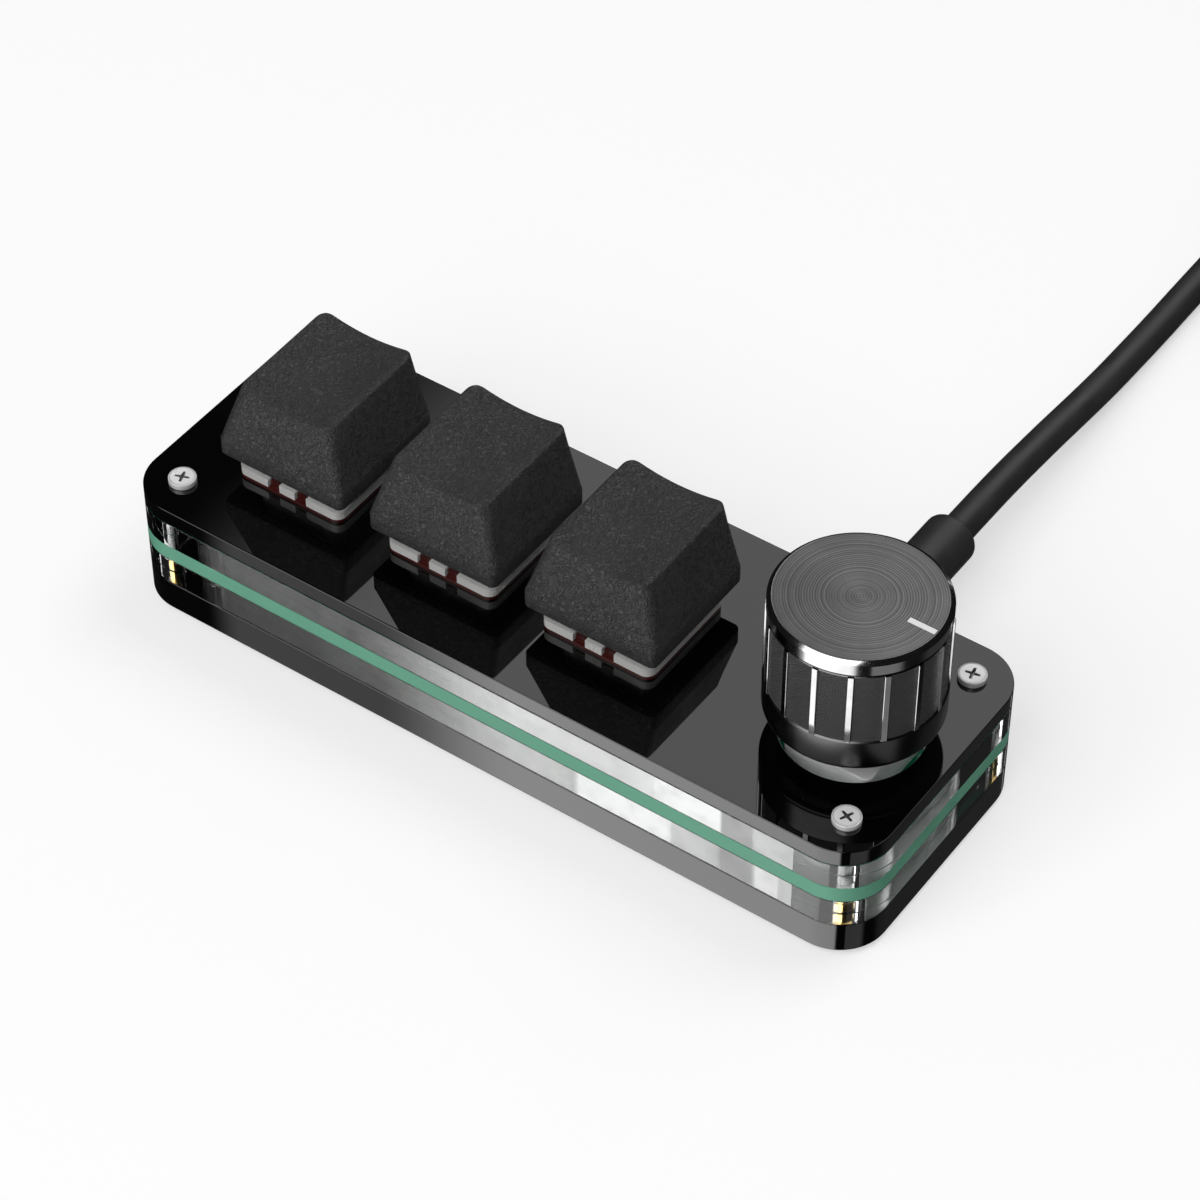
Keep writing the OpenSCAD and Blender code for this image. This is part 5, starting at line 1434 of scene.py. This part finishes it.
class KEYPAD_OT_encoder(bpy.types.Operator):
    """The rotary encoder: moulded base, bright can, threaded neck, pins, snap dome, plunger, rotor and shaft"""

    bl_idname = "keypad.encoder"
    bl_label = "Encoder"

    def execute(self, context):
        crisp("coder_base", "encoder_base", 0.12, "black_plastic")
        crisp("coder_can", "encoder_can", 0.2, "tin_plate", segments=3)
        crisp("coder_rotor", "encoder_rotor", 0.06, "rotor_plastic", body="rotor")
        crisp("coder_shaft", "encoder_shaft", 0.12, "zinc", body="dial", slim=(0.99, 0.99, 1.0))
        low, high = corners("encoder_plunger")
        r = (high[0] - low[0]) / 2
        line = fillet([[0, low[2]], [r, low[2]], [r, high[2]], [0, high[2]]], [0, 0.15, 0.15, 0], 4)
        shell = Shell().grid(lathe(line, 64, DIAL_PLACE))
        put("coder_plunger", shell, "rotor_plastic", body="plunger", stands_for="encoder_plunger")
        low, high = corners("encoder_dome")
        r = (high[0] - low[0]) / 2
        t = np.linspace(0, 1, 12)
        over = np.column_stack([r * (1 - t), low[2] + (high[2] - low[2]) * np.sin(t * math.pi / 2)])
        under = over[::-1] - [0, 0.1]
        under[:, 1] = np.maximum(under[:, 1], low[2])
        shell = Shell().grid(lathe(np.vstack([over, under]), 64, DIAL_PLACE))
        put("coder_dome", shell, "spring_steel", stands_for="encoder_dome")
        low, high = corners("encoder_neck")
        bore, flange, neck = 3.04, (high[0] - low[0]) / 2, 3.5
        z0, z1, z2 = low[2], low[2] + 0.7, high[2]
        at = np.array([*DIAL_PLACE, 0])
        shell = Shell()
        shell.grid(lathe([[bore, z0], [flange, z0], [flange, z1], [neck - 0.2, z1]], 72) + at)
        shell.grid(threaded(neck, z1, z2 - 0.25, 0.75, 0.26, 64, 8) + at)
        shell.grid(lathe([[neck, z2 - 0.25], [neck - 0.2, z2], [bore, z2], [bore, z0]], 72) + at)
        put("coder_neck", shell, "zinc", stands_for="encoder_neck", sharp=28)
        low, high = corners("encoder_pins")
        pins = Shell()
        line = fillet([[0, low[2]], [0.5, low[2]], [0.5, high[2]], [0, high[2]]], [0, 0.3, 0.02, 0], 4)
        for p in pin_places()[1]:
            pins.grid(lathe(line, 24, p))
        put("coder_pins", pins, "spring_steel", stands_for="encoder_pins")
        return {"FINISHED"}


class KEYPAD_OT_dial(bpy.types.Operator):
    """The dial: dyed body with knurled panels, bright ribs, ring and bevel, spun face, pointer and core"""

    bl_idname = "keypad.dial"
    bl_label = "Dial"

    def execute(self, context):
        settings = context.scene.keypad_dial
        low, high = corners("dial_shell")
        z0, z1 = low[2], high[2]
        at = np.array([*DIAL_PLACE, 0])
        outer, inner, panel, ring, seat_r = 10.45, 8.45, 10.25, 10.31, 9.6
        band, groove, ring_low = z0 + 4.4, z1 - 2.15, z1 - 1.85
        body = Shell()
        foot = fillet(
            [[inner, z0], [outer, z0], [outer, band - 0.12], [panel - 0.03, band + 0.05]], [0, 0.85, 0.05, 0], 8,
        )
        seat = [
            [panel - 0.03, groove - 0.1], [panel - 0.15, groove], [seat_r, groove], [seat_r, ring_low],
            [seat_r, z1 - 0.62], [0, z1 - 0.62],
        ]
        for profile in (foot, seat, [[0, z1 - 3.2], [inner, z1 - 3.2], [inner, z0]]):
            body.grid(lathe(profile, 160) + at)
        put("dial_body", body, "dial_black", body="dial", stands_for="dial_shell", sharp=30)
        knurl = Shell()
        rise = np.linspace(band + 0.05, groove - 0.1, 3)
        wall = lathe(np.column_stack([np.full(3, panel - 0.03), rise]), 160)
        knurl.grid(wall + at, uv=(TURN * panel, rise[-1] - rise[0]))
        put("dial_panels", knurl, "dial_knurl", body="dial")
        ribs = self.ribs(settings, band - 0.05, groove - 0.02, panel, outer)
        put("dial_ribs", ribs, "cut_metal", body="dial", sharp=25)
        line = [
            [seat_r, ring_low], [ring - 0.06, ring_low], [ring, ring_low + 0.06], [ring, z1 - 0.42],
            [ring - 0.03, z1 - 0.385], [9.78, z1 - 0.02], [9.75, z1 - 0.03], [9.75, z1 - 0.6], [seat_r, z1 - 0.6],
            [seat_r, ring_low],
        ]
        put("dial_ring", Shell().grid(lathe(line, 192) + at), "cut_metal", body="dial", sharp=20)
        self.face()
        crisp("dial_hub", "dial_core", 0.15, "black_plastic", body="dial")
        return {"FINISHED"}

    def ribs(self, settings, low, high, panel, outer):
        """Flat ribs: a section of half width and radius carried up the wall, with slanted ends, turned to place."""
        half = 0.35
        section = np.array([
            [-half, panel - 0.25], [half, panel - 0.25], [half, outer - 0.06], [half - 0.05, outer - 0.005],
            [0.05 - half, outer - 0.005], [-half, outer - 0.06],
        ])
        rows = np.array([[low - 0.2, -0.3], [low, -0.02], [low + 0.12, 0.0], [high - 0.12, 0.0], [high, -0.05]])
        shell = Shell()
        for k in range(settings.ribs):
            a = settings.rib_turn + TURN * k / settings.ribs
            side, out = np.array([-math.sin(a), math.cos(a)]), np.array([math.cos(a), math.sin(a)])
            r = section[None, :, 1:] + rows[:, None, 1:] * (section[None, :, 1:] > panel)
            flat = DIAL_PLACE + section[None, :, :1] * side + r * out
            points = np.concatenate([flat, np.broadcast_to(rows[:, None, :1], flat.shape[:2] + (1,))], -1)
            shell.grid(points[:, ::-1], start=True, end=True)
        return shell

    def face(self):
        """The spun disc with a slot for the white line."""
        low, high = corners("dial_disc")
        radius = (high[0] - low[0]) / 2
        p_low, p_high = corners("dial_pointer")
        mid = (p_low + p_high) / 2
        size = p_high - p_low
        slot = hole(round_rect(size[0] + 0.04, size[1] + 0.04, 0.04, 3, mid))
        shell = sheet(Shell(), [circle(radius, 192, DIAL_PLACE), slot], low[2], high[2], 0.03, 2)
        put("dial_face", shell, "disc_grey", body="dial", stands_for="dial_disc")
        line = Shell()
        block(line, p_low, p_high - [0, 0, 0.02], 0.03)
        put("dial_line", line, "pointer_white", body="dial", stands_for="dial_pointer")


class KEYPAD_OT_socket(bpy.types.Operator):
    """The socket at the back of the case"""

    bl_idname = "keypad.socket"
    bl_label = "Socket"

    def execute(self, context):
        crisp("socket_shell", "usb_socket_shell", 0.09, "bright_steel")
        crisp("socket_tongue", "usb_socket_tongue", 0.06, "black_plastic")
        _, high = corners("usb_socket_tongue")
        strips, (x0, _, z0) = Shell(), SOCKET_PLACE
        for k in range(12):
            x = x0 + (k - 5.5) * 0.5
            for z in (z0 - 0.37, z0 + 0.33):
                block(strips, (x - 0.12, high[1] - 3.6, z), (x + 0.12, high[1] - 0.3, z + 0.04), 0.01)
        put("socket_contacts", strips, "contact_metal")
        return {"FINISHED"}


# ---------------------------------------------------------------- panel and run


class KEYPAD_PT_panel(bpy.types.Panel):
    """Settings and building steps of the keypad"""

    bl_label = "Desk keypad"
    bl_idname = "KEYPAD_PT_panel"
    bl_space_type = "VIEW_3D"
    bl_region_type = "UI"
    bl_category = "Keypad"

    def draw(self, context):
        for key, group in SETTINGS.items():
            box = self.layout.box()
            held = getattr(context.scene, key)
            for name in group.__annotations__:
                box.prop(held, name)
        for step in STEPS:
            self.layout.operator(step.bl_idname)


SETTINGS = {
    "keypad_case": CaseSettings,
    "keypad_keys": KeySettings,
    "keypad_dial": DialSettings,
    "keypad_cable": CableSettings,
    "keypad_studio": StudioSettings,
}
STEPS = [
    KEYPAD_OT_stage, KEYPAD_OT_cable, KEYPAD_OT_sheets, KEYPAD_OT_clear_sheets, KEYPAD_OT_board, KEYPAD_OT_screws,
    KEYPAD_OT_switches, KEYPAD_OT_caps, KEYPAD_OT_encoder, KEYPAD_OT_dial, KEYPAD_OT_socket,
]


def register():
    """Registers the settings, the operators and the panel."""
    for group in SETTINGS.values():
        bpy.utils.register_class(group)
    for key, group in SETTINGS.items():
        setattr(bpy.types.Scene, key, PointerProperty(type=group))
    for made in [*STEPS, KEYPAD_PT_panel]:
        bpy.utils.register_class(made)


def unregister():
    """Takes the panel, the operators and the settings away again."""
    for made in [KEYPAD_PT_panel, *reversed(STEPS)]:
        bpy.utils.unregister_class(made)
    for key, group in SETTINGS.items():
        delattr(bpy.types.Scene, key)
        bpy.utils.unregister_class(group)


def build():
    """Builds the stage and every piece in order."""
    register()
    for step in STEPS:
        group, name = step.bl_idname.split(".")
        if getattr(getattr(bpy.ops, group), name)() != {"FINISHED"}:
            raise RuntimeError(f"{step.bl_label} didn't finish")
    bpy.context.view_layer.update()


if __name__ == "__main__":
    build()
